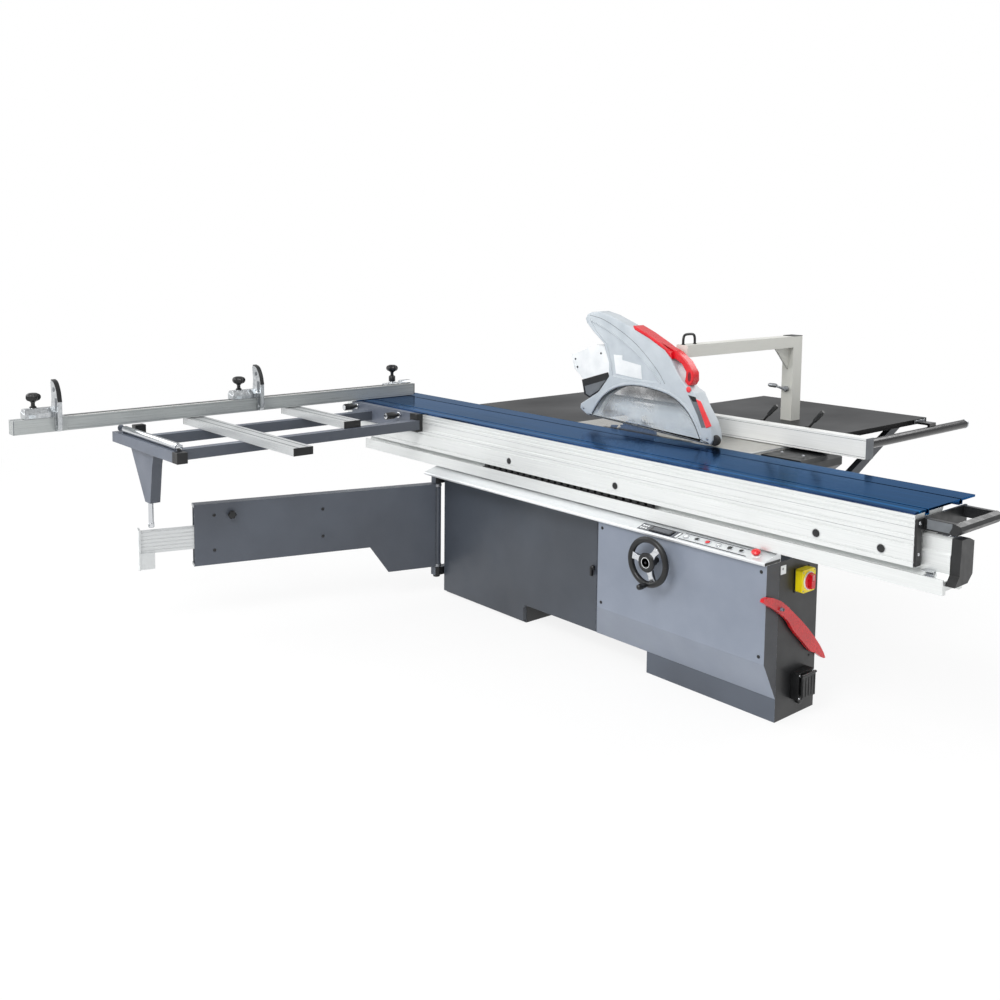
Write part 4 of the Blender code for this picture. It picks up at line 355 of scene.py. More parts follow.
# ---------------------------------------------------------------- modelling tools
PLACE = {
    "X": lambda u, v, w: Vector((w, u, v)),
    "Y": lambda u, v, w: Vector((u, w, v)),
    "Z": lambda u, v, w: Vector((u, v, w)),
}
TURN = {
    "X": lambda r, a, t: Vector((t, r * math.cos(a), r * math.sin(a))),
    "Y": lambda r, a, t: Vector((r * math.sin(a), t, r * math.cos(a))),
    "Z": lambda r, a, t: Vector((r * math.cos(a), r * math.sin(a), t)),
}


def loft(rings, ends=True):
    """Solid through rings of points; without ends the last ring joins the first."""
    solid = bmesh.new()
    made = [[solid.verts.new(point) for point in ring] for ring in rings]
    for first, second in zip(made, made[1:] if ends else made[1:] + made[:1]):
        for k in range(len(first)):
            j = (k + 1) % len(first)
            solid.faces.new((first[k], first[j], second[j], second[k]))
    if ends:
        solid.faces.new(made[0])
        solid.faces.new(made[-1])
    bmesh.ops.recalc_face_normals(solid, faces=solid.faces)
    return solid


def prism(outline, axis, start, end):
    """Straight solid from an outline, standing along one axis."""
    return loft([[PLACE[axis](u, v, w) for u, v in outline] for w in (start, end)])


def block(low, high):
    return prism([(low[0], low[1]), (high[0], low[1]), (high[0], high[1]), (low[0], high[1])], "Z",
        low[2], high[2])


def turned(profile, axis, centre, sides=32, lobes=0, depth=0.0):
    """Solid of revolution; lobes scallops its widest rings like a star knob."""
    centre = Vector(centre)
    widest = max(r for r, _ in profile)
    rings = []
    for radius, along in profile:
        ring = []
        for k in range(sides):
            a = 2 * math.pi * k / sides
            cut = 1 - depth * (0.5 - 0.5 * math.cos(lobes * a)) if lobes and radius > widest * 0.75 else 1
            ring.append(centre + TURN[axis](max(radius, 1e-5) * cut, a, along))
        rings.append(ring)
    return loft(rings)


def curve(points, steps, closed=True):
    """Smooth path through the points, with a number of steps between each two."""
    count = len(points)
    out = []
    for i in range(count if closed else count - 1):
        p = [Vector(points[(i + k) % count] if closed else points[min(max(i + k, 0), count - 1)])
            for k in (-1, 0, 1, 2)]
        for s in range(steps):
            t = s / steps
            out.append(tuple(0.5 * (2 * p[1] + (p[2] - p[0]) * t
                    + (2 * p[0] - 5 * p[1] + 4 * p[2] - p[3]) * t * t
                    + (3 * p[1] - p[0] - 3 * p[2] + p[3]) * t ** 3)))
    if not closed:
        out.append(tuple(points[-1]))
    return out


def tube(points, radius, sides=12):
    """Round bar along a smooth path."""
    fine = [Vector(point) for point in curve(points, 8, closed=False)]
    rings = []
    side = None
    for i, point in enumerate(fine):
        ahead = (fine[min(i + 1, len(fine) - 1)] - fine[max(i - 1, 0)]).normalized()
        if side is None:
            side = ahead.orthogonal().normalized()
        side = (side - ahead * side.dot(ahead)).normalized()
        up = ahead.cross(side)
        rings.append([point + side * radius * math.cos(2 * math.pi * k / sides)
              + up * radius * math.sin(2 * math.pi * k / sides) for k in range(sides)])
    return loft(rings)


def inset(outline, distance):
    """Outline moved inwards by a distance."""
    area = sum(a[0] * b[1] - b[0] * a[1] for a, b in zip(outline, outline[1:] + outline[:1]))
    side = 1 if area > 0 else -1
    moved = []
    for i, here in enumerate(outline):
        before, here, after = Vector(outline[i - 1]), Vector(here), Vector(outline[(i + 1) % len(outline)])
        first, second = (here - before).normalized(), (after - here).normalized()
        normal = Vector((-(first.y + second.y), first.x + second.x)) * side
        moved.append(tuple(here + normal.normalized() * distance / max(0.35, normal.length / 2)))
    return moved


def piece(name, solids, look, body, bevel=0.0, steps=2, stands_for=()):
    """One visual piece from a list of solids in datum metres, riding on a body."""
    joined = bmesh.new()
    for solid in solids if isinstance(solids, list) else [solids]:
        mesh = bpy.data.meshes.new("part")
        solid.to_mesh(mesh)
        solid.free()
        joined.from_mesh(mesh)
        bpy.data.meshes.remove(mesh)
    bmesh.ops.translate(joined, verts=joined.verts, vec=SHIFT)
    mesh = bpy.data.meshes.new(name)
    joined.to_mesh(mesh)
    joined.free()
    made = bpy.data.objects.new(name, mesh)
    bpy.context.scene.collection.objects.link(made)
    mesh.materials.append(M[look])
    if bevel:
        soft = made.modifiers.new("edge", "BEVEL")
        soft.width = bevel
        soft.segments = steps
        soft.limit_method = "ANGLE"
        soft.angle_limit = math.radians(35)
        soft.harden_normals = False
    mesh.shade_smooth()
    mesh.set_sharp_from_angle(angle=math.radians(40))
    if bevel:
        made.modifiers.new("even", "WEIGHTED_NORMAL").keep_sharp = True
    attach(made, body)
    if stands_for:
        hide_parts(*stands_for)
    return made


def bolt(axis, centre, sign, radius=0.006, proud=0.003):
    """Button-head bolt with a hex socket."""
    return turned([(radius, 0.0002 * sign), (radius, proud * 0.35 * sign),
          (radius * 0.82, proud * 0.8 * sign), (radius * 0.5, proud * sign),
          (radius * 0.42, proud * 0.55 * sign), (0, proud * 0.5 * sign)], axis, centre, 18)


# ---------------------------------------------------------------- cabinet
COVER_Y, END_X = -0.480, 1.013
HINGE = (-0.915, -0.430, 0)              # shared by the door and the swing arm
LEG = (-1.300, -1.696, 0)
piece("cover_screws", [bolt("Y", (x, COVER_Y, z), -1, 0.0065, 0.003) for x in (0.228, 0.990)
      for z in (0.562, 0.256)], "black", "machine")
piece("end_screws", [bolt("X", (END_X, y, z), 1, 0.005, 0.002)
      for y, z in ((-0.385, 0.56), (-0.20, 0.56), (-0.20, 0.20))], "black", "machine")
piece("blank_plate", block((END_X + 0.0002, -0.398, 0.540), (END_X + 0.0014, -0.366, 0.572)), "white",
    "machine", 0.0004)
piece("hinge_collars", [turned([(0.011, z), (0.0165, z + 0.002), (0.0165, z + h - 0.003), (0.013, z + h)],
        "Z", HINGE, 28) for z, h in ((0.0790, 0.0108), (0.5802, 0.010))], "satin_black", "machine",
    0.0008)
piece("arm_collars", [turned([(0.0212, z), (0.0232, z + 0.002), (0.0232, z + 0.012), (0.0212, z + 0.014)],
        "Z", HINGE, 28) for z in (0.1315, 0.5240)], "steel", "swing_arm")

# fascia: sheet, display, button bezels
NORMAL = Vector((0.0, -0.0257, 0.094)).normalized()
DOWN = Vector((0.0, -0.094, -0.0257)).normalized()
FASCIA_TOP = Vector((0.0, -0.400, 0.6266))
SLOPE = 0.09745
RING_SIDES = 28


def on_fascia(low, high, lift, thick):
    """Thin plate on the slope from (x, down) to (x, down)."""
    corners = [(low[0], low[1]), (high[0], low[1]), (high[0], high[1]), (low[0], high[1])]
    return loft([[FASCIA_TOP + Vector((x, 0, 0)) + DOWN * d + NORMAL * w for x, d in corners]
          for w in (lift, lift + thick)])


def fascia_ring(x, down, inner, outer, height):
    """Bezel ring standing on the slope."""
    centre = FASCIA_TOP + Vector((x, 0, 0)) + DOWN * down
    section = [(outer, 0.0002), (outer, height * 0.6), ((inner + outer) / 2, height), (inner, height),
        (inner, 0.0002)]
    turns = [2 * math.pi * k / RING_SIDES for k in range(RING_SIDES)]
    return loft([[centre + Vector((1, 0, 0)) * r * math.cos(a) + DOWN * r * math.sin(a) + NORMAL * w
            for a in turns] for r, w in section], ends=False)


LINE = SLOPE * 0.66
piece("panel_sheet", [on_fascia((0.418, 0.046), (0.612, 0.093), 0.0002, 0.0006)], "screen", "machine", 0.0002)
piece("panel_keys", [on_fascia((0.600, 0.052), (0.610, 0.088), 0.0009, 0.0008)]
    + [on_fascia((0.425 + 0.012 * k, d), (0.434 + 0.012 * k, d + 0.010), 0.0009, 0.0008)
      for d in (0.056, 0.074) for k in range(3)], "white", "machine", 0.0003)
piece("panel_display", [on_fascia((0.476, 0.052), (0.580, 0.088), 0.0009, 0.0030)], "black", "machine",
    0.0008)
piece("panel_glass", [on_fascia((0.484, 0.057), (0.572, 0.083), 0.0040, 0.0004)], "screen", "machine", 0.0001)
piece("button_bezels", [fascia_ring(x, LINE, 0.0098, 0.0135, 0.0026) for x in (0.640, 0.740, 0.840)]
    + [fascia_ring(x, LINE, 0.0040, 0.0120, 0.0030) for x in (0.690, 0.790, 0.890)], "chrome", "machine")
piece("selector_caps", [fascia_ring(x, LINE, 0.0004, 0.0082, 0.0052) for x in (0.690, 0.890)], "black",
    "machine", 0.0004)
piece("pilot_lens", [fascia_ring(0.790, LINE, 0.0004, 0.0078, 0.0042)], "white", "machine", 0.0004)
piece("estop_collar", [fascia_ring(0.955, LINE, 0.0089, 0.0190, 0.0036)], "white", "machine", 0.0004)
piece("panel_band", [on_fascia((0.620, 0.0845), (0.925, 0.0900), 0.0002, 0.0005),
      on_fascia((0.620, 0.0400), (0.925, 0.0430), 0.0002, 0.0005)], "screen", "machine", 0.0001)
piece("fascia_caps", [block((END_X + 0.0002, -0.494, 0.5895), (END_X + 0.0018, -0.404, 0.5995))],
    "satin_black", "machine", 0.0006)

# main switch and inlet details
SWITCH = (-0.266, 0.502)
piece("switch_screws", [bolt("X", (1.0434, SWITCH[0] + sy * 0.034, SWITCH[1] + sz * 0.034), 1, 0.0030,
        0.0015) for sy in (-1, 1) for sz in (-1, 1)], "steel", "machine")
piece("switch_gasket", [block((1.0133, y, 0.458), (1.0165, y + 0.0025, 0.546))
      for y in (-0.3115, -0.223)], "black", "machine", 0.0005)
piece("switch_grip_line", [block((1.0638, -0.2675, 0.506), (1.0644, -0.2645, 0.526))], "white",
    "switch_knob", 0.0002)
piece("switch_ring", [turned([(0.0312, 0.0), (0.0335, 0.0), (0.0335, 0.004), (0.0312, 0.005)], "X",
        (1.0440, SWITCH[0], SWITCH[1]), 40)], "white", "switch_knob")
INLET_Y = -0.262
piece("inlet_screws", [bolt("X", (1.0454, INLET_Y + sy * 0.041, z), 1, 0.004, 0.0018) for sy in (-1, 1)
      for z in (0.073, 0.157)], "chrome", "machine")
piece("lid_ribs", [block((1.0576, INLET_Y + 0.018 * k - 0.002, 0.078),
        (1.0590, INLET_Y + 0.018 * k + 0.002, 0.146)) for k in (-2, -1, 0, 1, 2)], "satin_black", "lid",
    0.0005)
piece("inlet_gland", [turned([(0.011, 0.0), (0.011, 0.010), (0.008, 0.014), (0.006, 0.014)], "X",
        (1.0136, INLET_Y, 0.046), 20)], "black", "machine", 0.0006)

# handwheel: bright spokes, thick grip and dial
WHEEL = Vector((0.515, -0.530, 0.497))
spokes = []
for k in range(3):
    angle = math.radians(70 + 120 * k)
    direction = Vector((math.cos(angle), 0, -math.sin(angle)))
    across = Vector((math.sin(angle), 0, math.cos(angle)))
    outline = [(0.030, 0.016), (0.050, 0.0105), (0.076, 0.0145), (0.0765, -0.0145), (0.050, -0.0105),
        (0.030, -0.016)]
    spokes.append(loft([[WHEEL + direction * u + across * v + Vector((0, y + (0.079 - u) * -0.05, 0))
            for u, v in outline] for y in (-0.0065, -0.0015)]))
piece("wheel_spokes", spokes, "chrome", "handwheel", 0.0012)
RIM_RADIUS, GRIP_RADIUS, RIM_STEPS = 0.0860, 0.0120, 48
turns = [2 * math.pi * k / RIM_STEPS for k in range(RIM_STEPS + 1)]
piece("wheel_grip", [tube([WHEEL + Vector((RIM_RADIUS * math.cos(a), 0.0, RIM_RADIUS * math.sin(a)))
        for a in turns], GRIP_RADIUS, 12)], "black", "handwheel")
piece("wheel_dial", [turned([(0.036, -0.002), (0.038, -0.012), (0.034, -0.017), (0.026, -0.018),
        (0.024, -0.016), (0.006, -0.016), (0.0, -0.0165)], "Y", WHEEL, 40)], "satin_black", "handwheel")
piece("dial_marks", [turned([(0.0205, -0.0161), (0.0205, -0.0168), (0.0185, -0.0168), (0.0185, -0.0161)],
        "Y", WHEEL, 40)], "white", "handwheel")

# ---------------------------------------------------------------- tables and rails
piece("table_edge_scale", block((0.6003, -0.030, 0.8385), (0.6065, 0.458, 0.8688)), "bar", "machine", 0.0008)
piece("table_scale_tape", block((0.6067, -0.020, 0.848), (0.6070, 0.450, 0.862)), "tape_y", "machine")
RIP_NEAR, RIP_FAR = (0.655, -0.0305, 0.822), (0.655, 1.6730, 0.822)
piece("rail_bar_caps", [turned([(0.0205, -0.0005), (0.0222, 0.0), (0.0222, -0.004), (0.016, -0.006),
        (0, -0.0065)], "Y", RIP_NEAR, 32),
      turned([(0.0217, -0.010), (0.0224, -0.009), (0.0224, 0.0), (0.016, 0.001), (0, 0.0012)], "Y",
        RIP_FAR, 32)], "chrome", "machine")
piece("rail_latch", [block((1.560, -0.372, 0.8002), (1.622, -0.350, 0.8012)),
      block((1.585, -0.379, 0.8002), (1.604, -0.346, 0.8015))], "chrome", "machine", 0.0003)
piece("rail_clip", [block((1.545, -0.4275, 0.6700), (1.580, -0.4005, 0.6725)),
      block((1.552, -0.4070, 0.6725), (1.576, -0.4005, 0.6886)),
      block((1.545, -0.4275, 0.6886), (1.580, -0.4005, 0.6912))], "chrome", "machine", 0.0007)
piece("rail_cap_screws", [bolt("X", (1.6544, y, z), 1, 0.005, 0.0004)
      for y, z in ((-0.385, 0.700), (-0.335, 0.772))], "steel", "machine")
piece("side_table_bracket", [block((0.586, 1.300, 0.852), (0.590, 1.40, 0.866))], "steel", "machine", 0.0008)

# ---------------------------------------------------------------- carriage
SKIRT_CAPS = [(x, -0.438, 0.732) for x in (-0.386, 0.253, 1.174, 1.413)]
piece("skirt_caps", [turned([(0.0135, -0.0002), (0.0135, -0.001), (0.011, -0.0022), (0.0, -0.0026)], "Y",
        centre, 28) for centre in SKIRT_CAPS], "satin_black", "carriage")
piece("skirt_cap_rings", [turned([(0.0165, -0.0002), (0.0165, -0.0012), (0.0140, -0.0012),
        (0.0140, -0.0002)], "Y", centre, 28) for centre in SKIRT_CAPS], "bar", "carriage")
piece("handle_bolts", [bolt("X", (1.5315, -0.422, z), 1, 0.0055, 0.003) for z in (0.835, 0.735)]
    + [bolt("X", (1.5315, -0.285, z), 1, 0.0055, 0.003) for z in (0.760, 0.722)], "chrome", "carriage")
piece("handle_pads", [block((1.540, -0.3925, 0.8145), (1.622, -0.3922, 0.8455)),
      block((1.540, -0.1318, 0.8145), (1.622, -0.1315, 0.8455))], "grey_pad", "carriage", 0.0001)
X0, X1 = -1.677, 1.523
piece("top_edge_lines", [block((X0 + 0.001, -0.4384, z), (X1 - 0.001, -0.4380, z + 0.0012))
      for z in (0.8615, 0.8195, 0.7795)], "steel", "carriage")

# outrigger caps, bars, brackets
piece("outrigger_caps", [block((-0.992, -1.7358, 0.7893), (-0.9440, -1.6892, 0.8355)),
      block((-1.076, -0.4738, 0.7765), (-1.0195, -0.4383, 0.8654))], "black", "carriage", 0.0015)
BARS = ((-0.605, -1.355), (-1.035, -0.835))      # right end and middle of each support bar
piece("bar_caps", [block((x - 0.0002, y - 0.0452, 0.8352), (x + 0.0035, y + 0.0452, 0.8682))
      for right, y in BARS for x in (right, -1.6035)], "black", "carriage", 0.0010)
piece("bar_slots", [block((-1.599, y + s * 0.022 - 0.003, 0.86795),
        (right - 0.001, y + s * 0.022 + 0.003, 0.86835)) for right, y in BARS for s in (-1, 1)],
    "grey_pad", "carriage")
piece("beam_block", [block((-1.598, -1.650, 0.8120), (-1.556, -1.600, 0.8600))], "black", "carriage", 0.002)
piece("roller_brackets", [turned([(0.014, -0.0002 * s), (0.015, 0.001 * s), (0.012, 0.003 * s),
        (0, 0.0032 * s)], "X", (x, -1.705, 0.852), 28) for s, x in ((1, -0.9889), (-1, -1.5861))],
    "chrome", "carriage")
piece("leg_sleeve", [turned([(0.0165, 0.5665), (0.0165, 0.5630), (0.0114, 0.5600), (0.0114, 0.4740),
        (0.0135, 0.4720), (0.0135, 0.4560), (0.0114, 0.4535)], "Z", LEG, 28)], "chrome", "carriage")
for k, x in enumerate((-1.528, -1.160), 1):
    centre = (x, -0.4738, 0.846)
    piece(f"clamp_grip_{k}", [turned([(0.0085, -0.030), (0.0165, -0.033), (0.0175, -0.040),
            (0.0175, -0.078), (0.0155, -0.0838), (0.0105, -0.0838), (0.0095, -0.0805), (0, -0.0805)], "Y",
            centre, 48, lobes=12, depth=0.05),
          turned([(0.009, -0.012), (0.009, -0.031)], "Y", centre, 20)], "black", f"clamp_{k}",
        stands_for=(f"clamp_knob_{k}",))
    piece(f"clamp_rings_{k}", [turned([(0.0125, -0.0002), (0.0145, -0.0015), (0.0145, -0.010),
            (0.0095, -0.012)], "Y", centre, 28),
          turned([(0.0120, -0.0838), (0.0135, -0.0842), (0.0110, -0.0852), (0.0040, -0.0846)], "Y",
            centre, 28)], "chrome", f"clamp_{k}")

# ---------------------------------------------------------------- swing arm
AXIS = (Vector(LEG) - Vector(HINGE)).normalized()


def on_arm(solid):
    """Turn a solid made in (along, up, sideways) into the swing arm's place."""
    turn = Matrix((AXIS, Vector((0, 0, 1)), AXIS.cross(Vector((0, 0, 1))))).transposed().to_4x4()
    bmesh.ops.transform(solid, matrix=Matrix.Translation(Vector(HINGE)) @ turn, verts=solid.verts)
    return solid


ARM_FACE = 0.0251
ARM_BOLTS = ((0.57, 0.470), (0.57, 0.343), (1.06, 0.487), (1.06, 0.330))
piece("arm_bolts", [on_arm(bolt("Z", (t, z, side * ARM_FACE), side, 0.007, 0.004)) for side in (1, -1)
      for t, z in ARM_BOLTS], "satin_black", "swing_arm")
knob = [(0.008, 0.0), (0.008, 0.010), (0.018, 0.012), (0.019, 0.024), (0.013, 0.030), (0, 0.031)]
piece("arm_knob", [on_arm(turned([(r, -(ARM_FACE + out)) for r, out in knob], "Z", (0.985, 0.487, 0), 36,
        lobes=6, depth=0.12))], "black", "swing_arm")
piece("arm_end_lip", [on_arm(block((1.1462, z, -0.026), (1.1490, z + 0.012, 0.026)))
      for z in (0.2640, 0.5280)], "steel", "swing_arm", 0.0006)
TIP = 1.3794
piece("arm_tip_plate", [on_arm(block((TIP - 0.002, 0.274, -0.0300), (TIP + 0.003, 0.4490, 0.0300)))],
    "white", "inner_arm", 0.0012)

# ---------------------------------------------------------------- crosscut fence
FACE, BACK, TOP = -1.545, -1.600, 0.9335
KNOB_X, KNOB_Y = -1.5725, -0.225         # the third knob stands on the fence itself
piece("fence_strip", [block((-1.5975, -1.955, 0.9335), (-1.5690, -0.104, 0.9342))], "gloss_black",
    "fence", 0.0002)
piece("fence_tape", [block((-1.5560, -1.955, 0.9335), (-1.5470, -0.110, 0.9339))], "tape_y", "fence")
piece("fence_grooves", [block((-1.5449, -1.955, z), (-1.5446, -0.102, z + 0.0012))
      for z in (0.9260, 0.8800)], "grey_pad", "fence")
piece("fence_end_cap", block((BACK - 0.0004, -0.1002, 0.8735), (FACE + 0.0006, -0.0945, 0.9328)), "black",
    "fence", 0.0015)
piece("extension_cap", block((BACK - 0.0006, -2.1799, 0.8730), (FACE + 0.0006, -2.1760, 0.9333)),
    "grey_pad", "extension", 0.0010)


def star_knob(base, x, y):
    """Black star knob on a waisted neck."""
    head = turned([(0.013, base + 0.030), (0.027, base + 0.036), (0.0322, base + 0.044),
          (0.0322, base + 0.053), (0.028, base + 0.060), (0.016, base + 0.0655), (0, base + 0.066)], "Z",
        (x, y, 0), 60, lobes=5, depth=0.22)
    neck = turned([(0.0145, base + 0.0004), (0.0145, base + 0.006), (0.0085, base + 0.012),
          (0.0080, base + 0.024), (0.013, base + 0.0305)], "Z", (x, y, 0), 28)
    return [head, neck]


for k, y in enumerate((-2.070, -1.110), 1):
    low = TOP + 0.001
    x, ky = KNOB_X, y - 0.018
    piece(f"star_knob_{k}", star_knob(low + 0.042, x, ky), "black", f"stop_knob_{k}",
        stands_for=(f"stop_knob_{k}",))
    piece(f"stop_casting_{k}", [turned([(0.019, low + 0.0422), (0.019, low + 0.0440),
            (0.0155, low + 0.0452)], "Z", (x, ky, 0), 28),
          prism([(BACK + 0.002, low + 0.001), (FACE - 0.0005, low + 0.001), (FACE - 0.0005, low + 0.020),
            (BACK + 0.002, low + 0.030)], "Y", y - 0.0625, y - 0.056),
          block((FACE - 0.0035, y - 0.052, low + 0.001), (FACE + 0.0012, y - 0.010, low + 0.020)),
          turned([(0.0095, -0.004), (0.0095, 0.006), (0.007, 0.008), (0, 0.0085)], "Y",
            (-1.565, y + 0.0515, 0.9635), 24)], "casting", f"stop_{k}", 0.0015)
    piece(f"stop_lens_{k}", [block((FACE + 0.0013, y - 0.044, low + 0.004),
            (FACE + 0.0022, y - 0.018, low + 0.017))], "clear", f"stop_{k}", 0.0003)
    edge = [(FACE + 0.045, TOP + 0.070), (FACE + 0.032, TOP + 0.115), (FACE + 0.005, TOP + 0.150),
        (FACE - 0.030, TOP + 0.160)]
    rim = curve(edge, 4, closed=False)
    outer = [(px + 0.0012, pz + 0.0014) for px, pz in rim]
    inner = [(px - 0.0022, pz - 0.0022) for px, pz in rim]
    start = y + 0.060 + 0.0004
    piece(f"flip_edge_{k}", [prism(outer + inner[::-1], "Y", start - 0.0003, start + 0.0183)], "black",
        f"flip_{k}")
    piece(f"flip_face_{k}", [block((FACE + 0.010, start - 0.0006, TOP + 0.030),
            (FACE + 0.034, start - 0.0002, TOP + 0.085)),
          turned([(0.010, -0.0002), (0.010, -0.0016), (0.006, -0.0022)], "Y",
            (FACE - 0.002, start + 0.0002, TOP + 0.120), 24)], "grey_pad", f"flip_{k}", 0.0002)
piece("fence_knob", star_knob(TOP + 0.040, KNOB_X, KNOB_Y)
    + [turned([(0.0165, TOP + 0.0186), (0.0175, TOP + 0.022), (0.0175, TOP + 0.044),
        (0.0145, TOP + 0.048)], "Z", (KNOB_X, KNOB_Y, 0), 28)], "black", "fence")
piece("fence_knob_seat", [block((-1.594, -0.275, TOP + 0.0004), (-1.551, -0.118, TOP + 0.009)),
      turned([(0.019, TOP + 0.009), (0.018, TOP + 0.0165), (0.015, TOP + 0.0184)], "Z",
        (KNOB_X, KNOB_Y, 0), 28), prism([(-1.596, TOP + 0.009), (-1.549, TOP + 0.009),
        (-1.556, TOP + 0.019), (-1.590, TOP + 0.019)], "Y", -0.170, -0.112)], "casting", "fence", 0.0022)

# ---------------------------------------------------------------- rip fence
piece("rip_caps", [block((0.9752, 0.1992, 0.8722), (0.9790, 0.2508, 0.9548)),
      block((-0.2538, 0.1992, 0.8722), (-0.2502, 0.2508, 0.9548))], "grey_pad", "rip_fence", 0.0012)
piece("rip_lines", [block((-0.249, 0.1996, z), (0.974, 0.2000, z + 0.0012)) for z in (0.8800, 0.9450)],
    "grey_pad", "rip_fence")
piece("rip_head_details", [bolt("Z", (x, y, 0.934), 1, 0.006, 0.004) for x in (0.52, 0.60)
      for y in (0.268, 0.290)] + [bolt("Z", (x, 0.105, 0.866), 1, 0.007, 0.004) for x in (0.66, 0.76)],
    "steel", "rip_head")
for k, x in enumerate((0.442, 0.665), 1):
    piece(f"lever_ball_{k}", [turned([(0.0170, 0.9345), (0.0175, 0.938), (0.0150, 0.946),
            (0.0145, 0.9475)], "Z", (x, 0.276, 0), 28)], "chrome", f"lever_{k}", 0.0008)

# ---------------------------------------------------------------- guard
NEAR, THICK = -0.057, 0.070
MIDDLE = NEAR + THICK / 2
OUTLINE = [(-0.283, 0.9165), (-0.327, 0.941), (-0.324, 0.964), (-0.214, 1.029), (-0.151, 1.105),
    (-0.153, 1.165), (-0.184, 1.249), (-0.257, 1.304), (-0.294, 1.337), (-0.303, 1.356), (-0.292, 1.376),
    (-0.268, 1.388), (-0.215, 1.394), (-0.150, 1.381), (-0.018, 1.335), (0.085, 1.296), (0.172, 1.252),
    (0.200, 1.222), (0.238, 1.166), (0.268, 1.130), (0.300, 1.103), (0.339, 1.085), (0.371, 1.030),
    (0.412, 0.973), (0.430, 0.930), (0.434, 0.900), (0.425, 0.880), (0.400, 0.878)]
ARCH = [(-0.254, 0.9180)] + curve([(-0.247, 0.928), (-0.215, 0.975), (-0.170, 1.022), (-0.098, 1.061),
      (-0.020, 1.079), (0.070, 1.081), (0.199, 1.062), (0.283, 1.019), (0.336, 0.961), (0.372, 0.896)], 3,
    closed=False) + [(0.374, 0.8835)]
RIDGE = [(-0.272, 1.352), (-0.205, 1.330), (-0.139, 1.304), (-0.070, 1.270), (-0.002, 1.232),
    (0.060, 1.187), (0.115, 1.140), (0.150, 1.106)]
PANEL = RIDGE + [(0.030, 1.104), (-0.060, 1.106), (-0.130, 1.110), (-0.138, 1.165), (-0.168, 1.249),
    (-0.235, 1.304)]
CREASE = [(-0.270, 1.373), (-0.200, 1.362), (-0.139, 1.340), (-0.060, 1.303), (0.010, 1.262),
    (0.080, 1.208), (0.140, 1.152), (0.176, 1.106)]
FAR_OUTLINE = OUTLINE + [(0.374, 0.8835)] + ARCH[-2:0:-1] + [(-0.254, 0.9180)]


def hood_half(sign, start, outline, openings):
    """One moulded half of the hood: rounded rim, window opening and sunk panel."""
    half = bmesh.new()
    loops = []
    for inward, depth in ((0.0075, 0.0), (0.0035, 0.0010), (0.0010, 0.0035), (0.0, 0.0075),
        (0.0, THICK / 2 + 0.0002)):
        path = inset(outline, inward) if inward else outline
        loops.append([half.verts.new((x, start + sign * depth, z)) for x, z in path])
    for first, second in zip(loops, loops[1:]):
        for i in range(len(first) - (1 if second is loops[-1] else 0)):
            j = (i + 1) % len(first)
            half.faces.new((first[i], first[j], second[j], second[i]))
    holes = []
    for path, steps in openings:
        rings = [[half.verts.new((x, start + sign * depth, z))
              for x, z in (inset(path, inward) if inward else path)] for inward, depth in steps]
        for i in range(len(path)):
            j = (i + 1) % len(path)
            half.faces.new((rings[0][i], rings[0][j], rings[1][j], rings[1][i]))
        holes.append(rings)
    half.faces.new(holes[-1][1])
    edges = [half.edges.get((loop[i], loop[(i + 1) % len(loop)])) for loop in [loops[0]]
        + [hole[0] for hole in holes] for i in range(len(loop))]
    bmesh.ops.triangle_fill(half, edges=edges, use_beauty=True, use_dissolve=False)
    bmesh.ops.recalc_face_normals(half, faces=half.faces)
    return half


hood = bmesh.new()
WINDOW_HOLE = (ARCH, ((0.0, 0.0), (0.0, 0.0042)))
PANEL_HOLE = (PANEL, ((0.0, 0.0), (0.0022, 0.0045)))
for sign, start, outline, openings in ((1, NEAR, OUTLINE, [WINDOW_HOLE, PANEL_HOLE]),
    (-1, NEAR + THICK, FAR_OUTLINE, [PANEL_HOLE])):
    mesh = bpy.data.meshes.new("half")
    side = hood_half(sign, start, outline, openings)
    side.to_mesh(mesh)
    side.free()
    hood.from_mesh(mesh)
    bpy.data.meshes.remove(mesh)
bmesh.ops.remove_doubles(hood, verts=hood.verts, dist=0.0006)
shell = piece("hood_shell", [hood], "guard", "guard", stands_for=("guard_hood",))
shell.data.set_sharp_from_angle(angle=math.radians(24))
shell.modifiers.new("even", "WEIGHTED_NORMAL").keep_sharp = True


def band(path, width, y, proud):
    """Raised strip that follows a line on the hood's side."""
    rows = []
    for i, (x, z) in enumerate(path):
        ahead = Vector(path[min(i + 1, len(path) - 1)]) - Vector(path[max(i - 1, 0)])
        across = Vector((-ahead.y, ahead.x)).normalized() * width / 2
        rows.append([Vector((x + across.x * s, y + d, z + across.y * s))
              for s, d in ((1, 0.0003), (0.55, -proud), (-0.55, -proud), (-1, 0.0003))])
    return loft(rows)


FINE_ARCH = curve(inset(ARCH, -0.007)[1:-1], 2, closed=False)
piece("window_rim", [band(FINE_ARCH, 0.013, NEAR, 0.0028)], "guard", "guard")
piece("hood_ridge", [band(curve(RIDGE, 3, closed=False), 0.0065, NEAR, 0.0024)], "guard", "guard")
# Painted shade: a thin dark strip along the crease stands in for the shade in the fold.
piece("crease_painted_shade", [band(curve(CREASE, 3, closed=False), 0.0030, NEAR + 0.0002, 0.0007)], "grey_pad",
    "guard")
rounded = [Vector((x, NEAR + 0.0004, z)) for x, z in inset(ARCH, 0.0018)]
piece("window_trim", [tube(rounded + [rounded[0]], 0.0017, 6)], "black", "guard")
LOWER = [(-0.2525, 0.9190), (-0.2500, 0.9235), (0.3600, 0.9165), (0.3700, 0.8960), (0.3725, 0.8850)]
piece("pane_foot", [prism(LOWER, "Y", NEAR + 0.0008, NEAR + 0.0026)], "clear", "guard")
HIGH_ARCH = [(x, z) for x, z in inset(ARCH, -0.002) if z > 0.940]
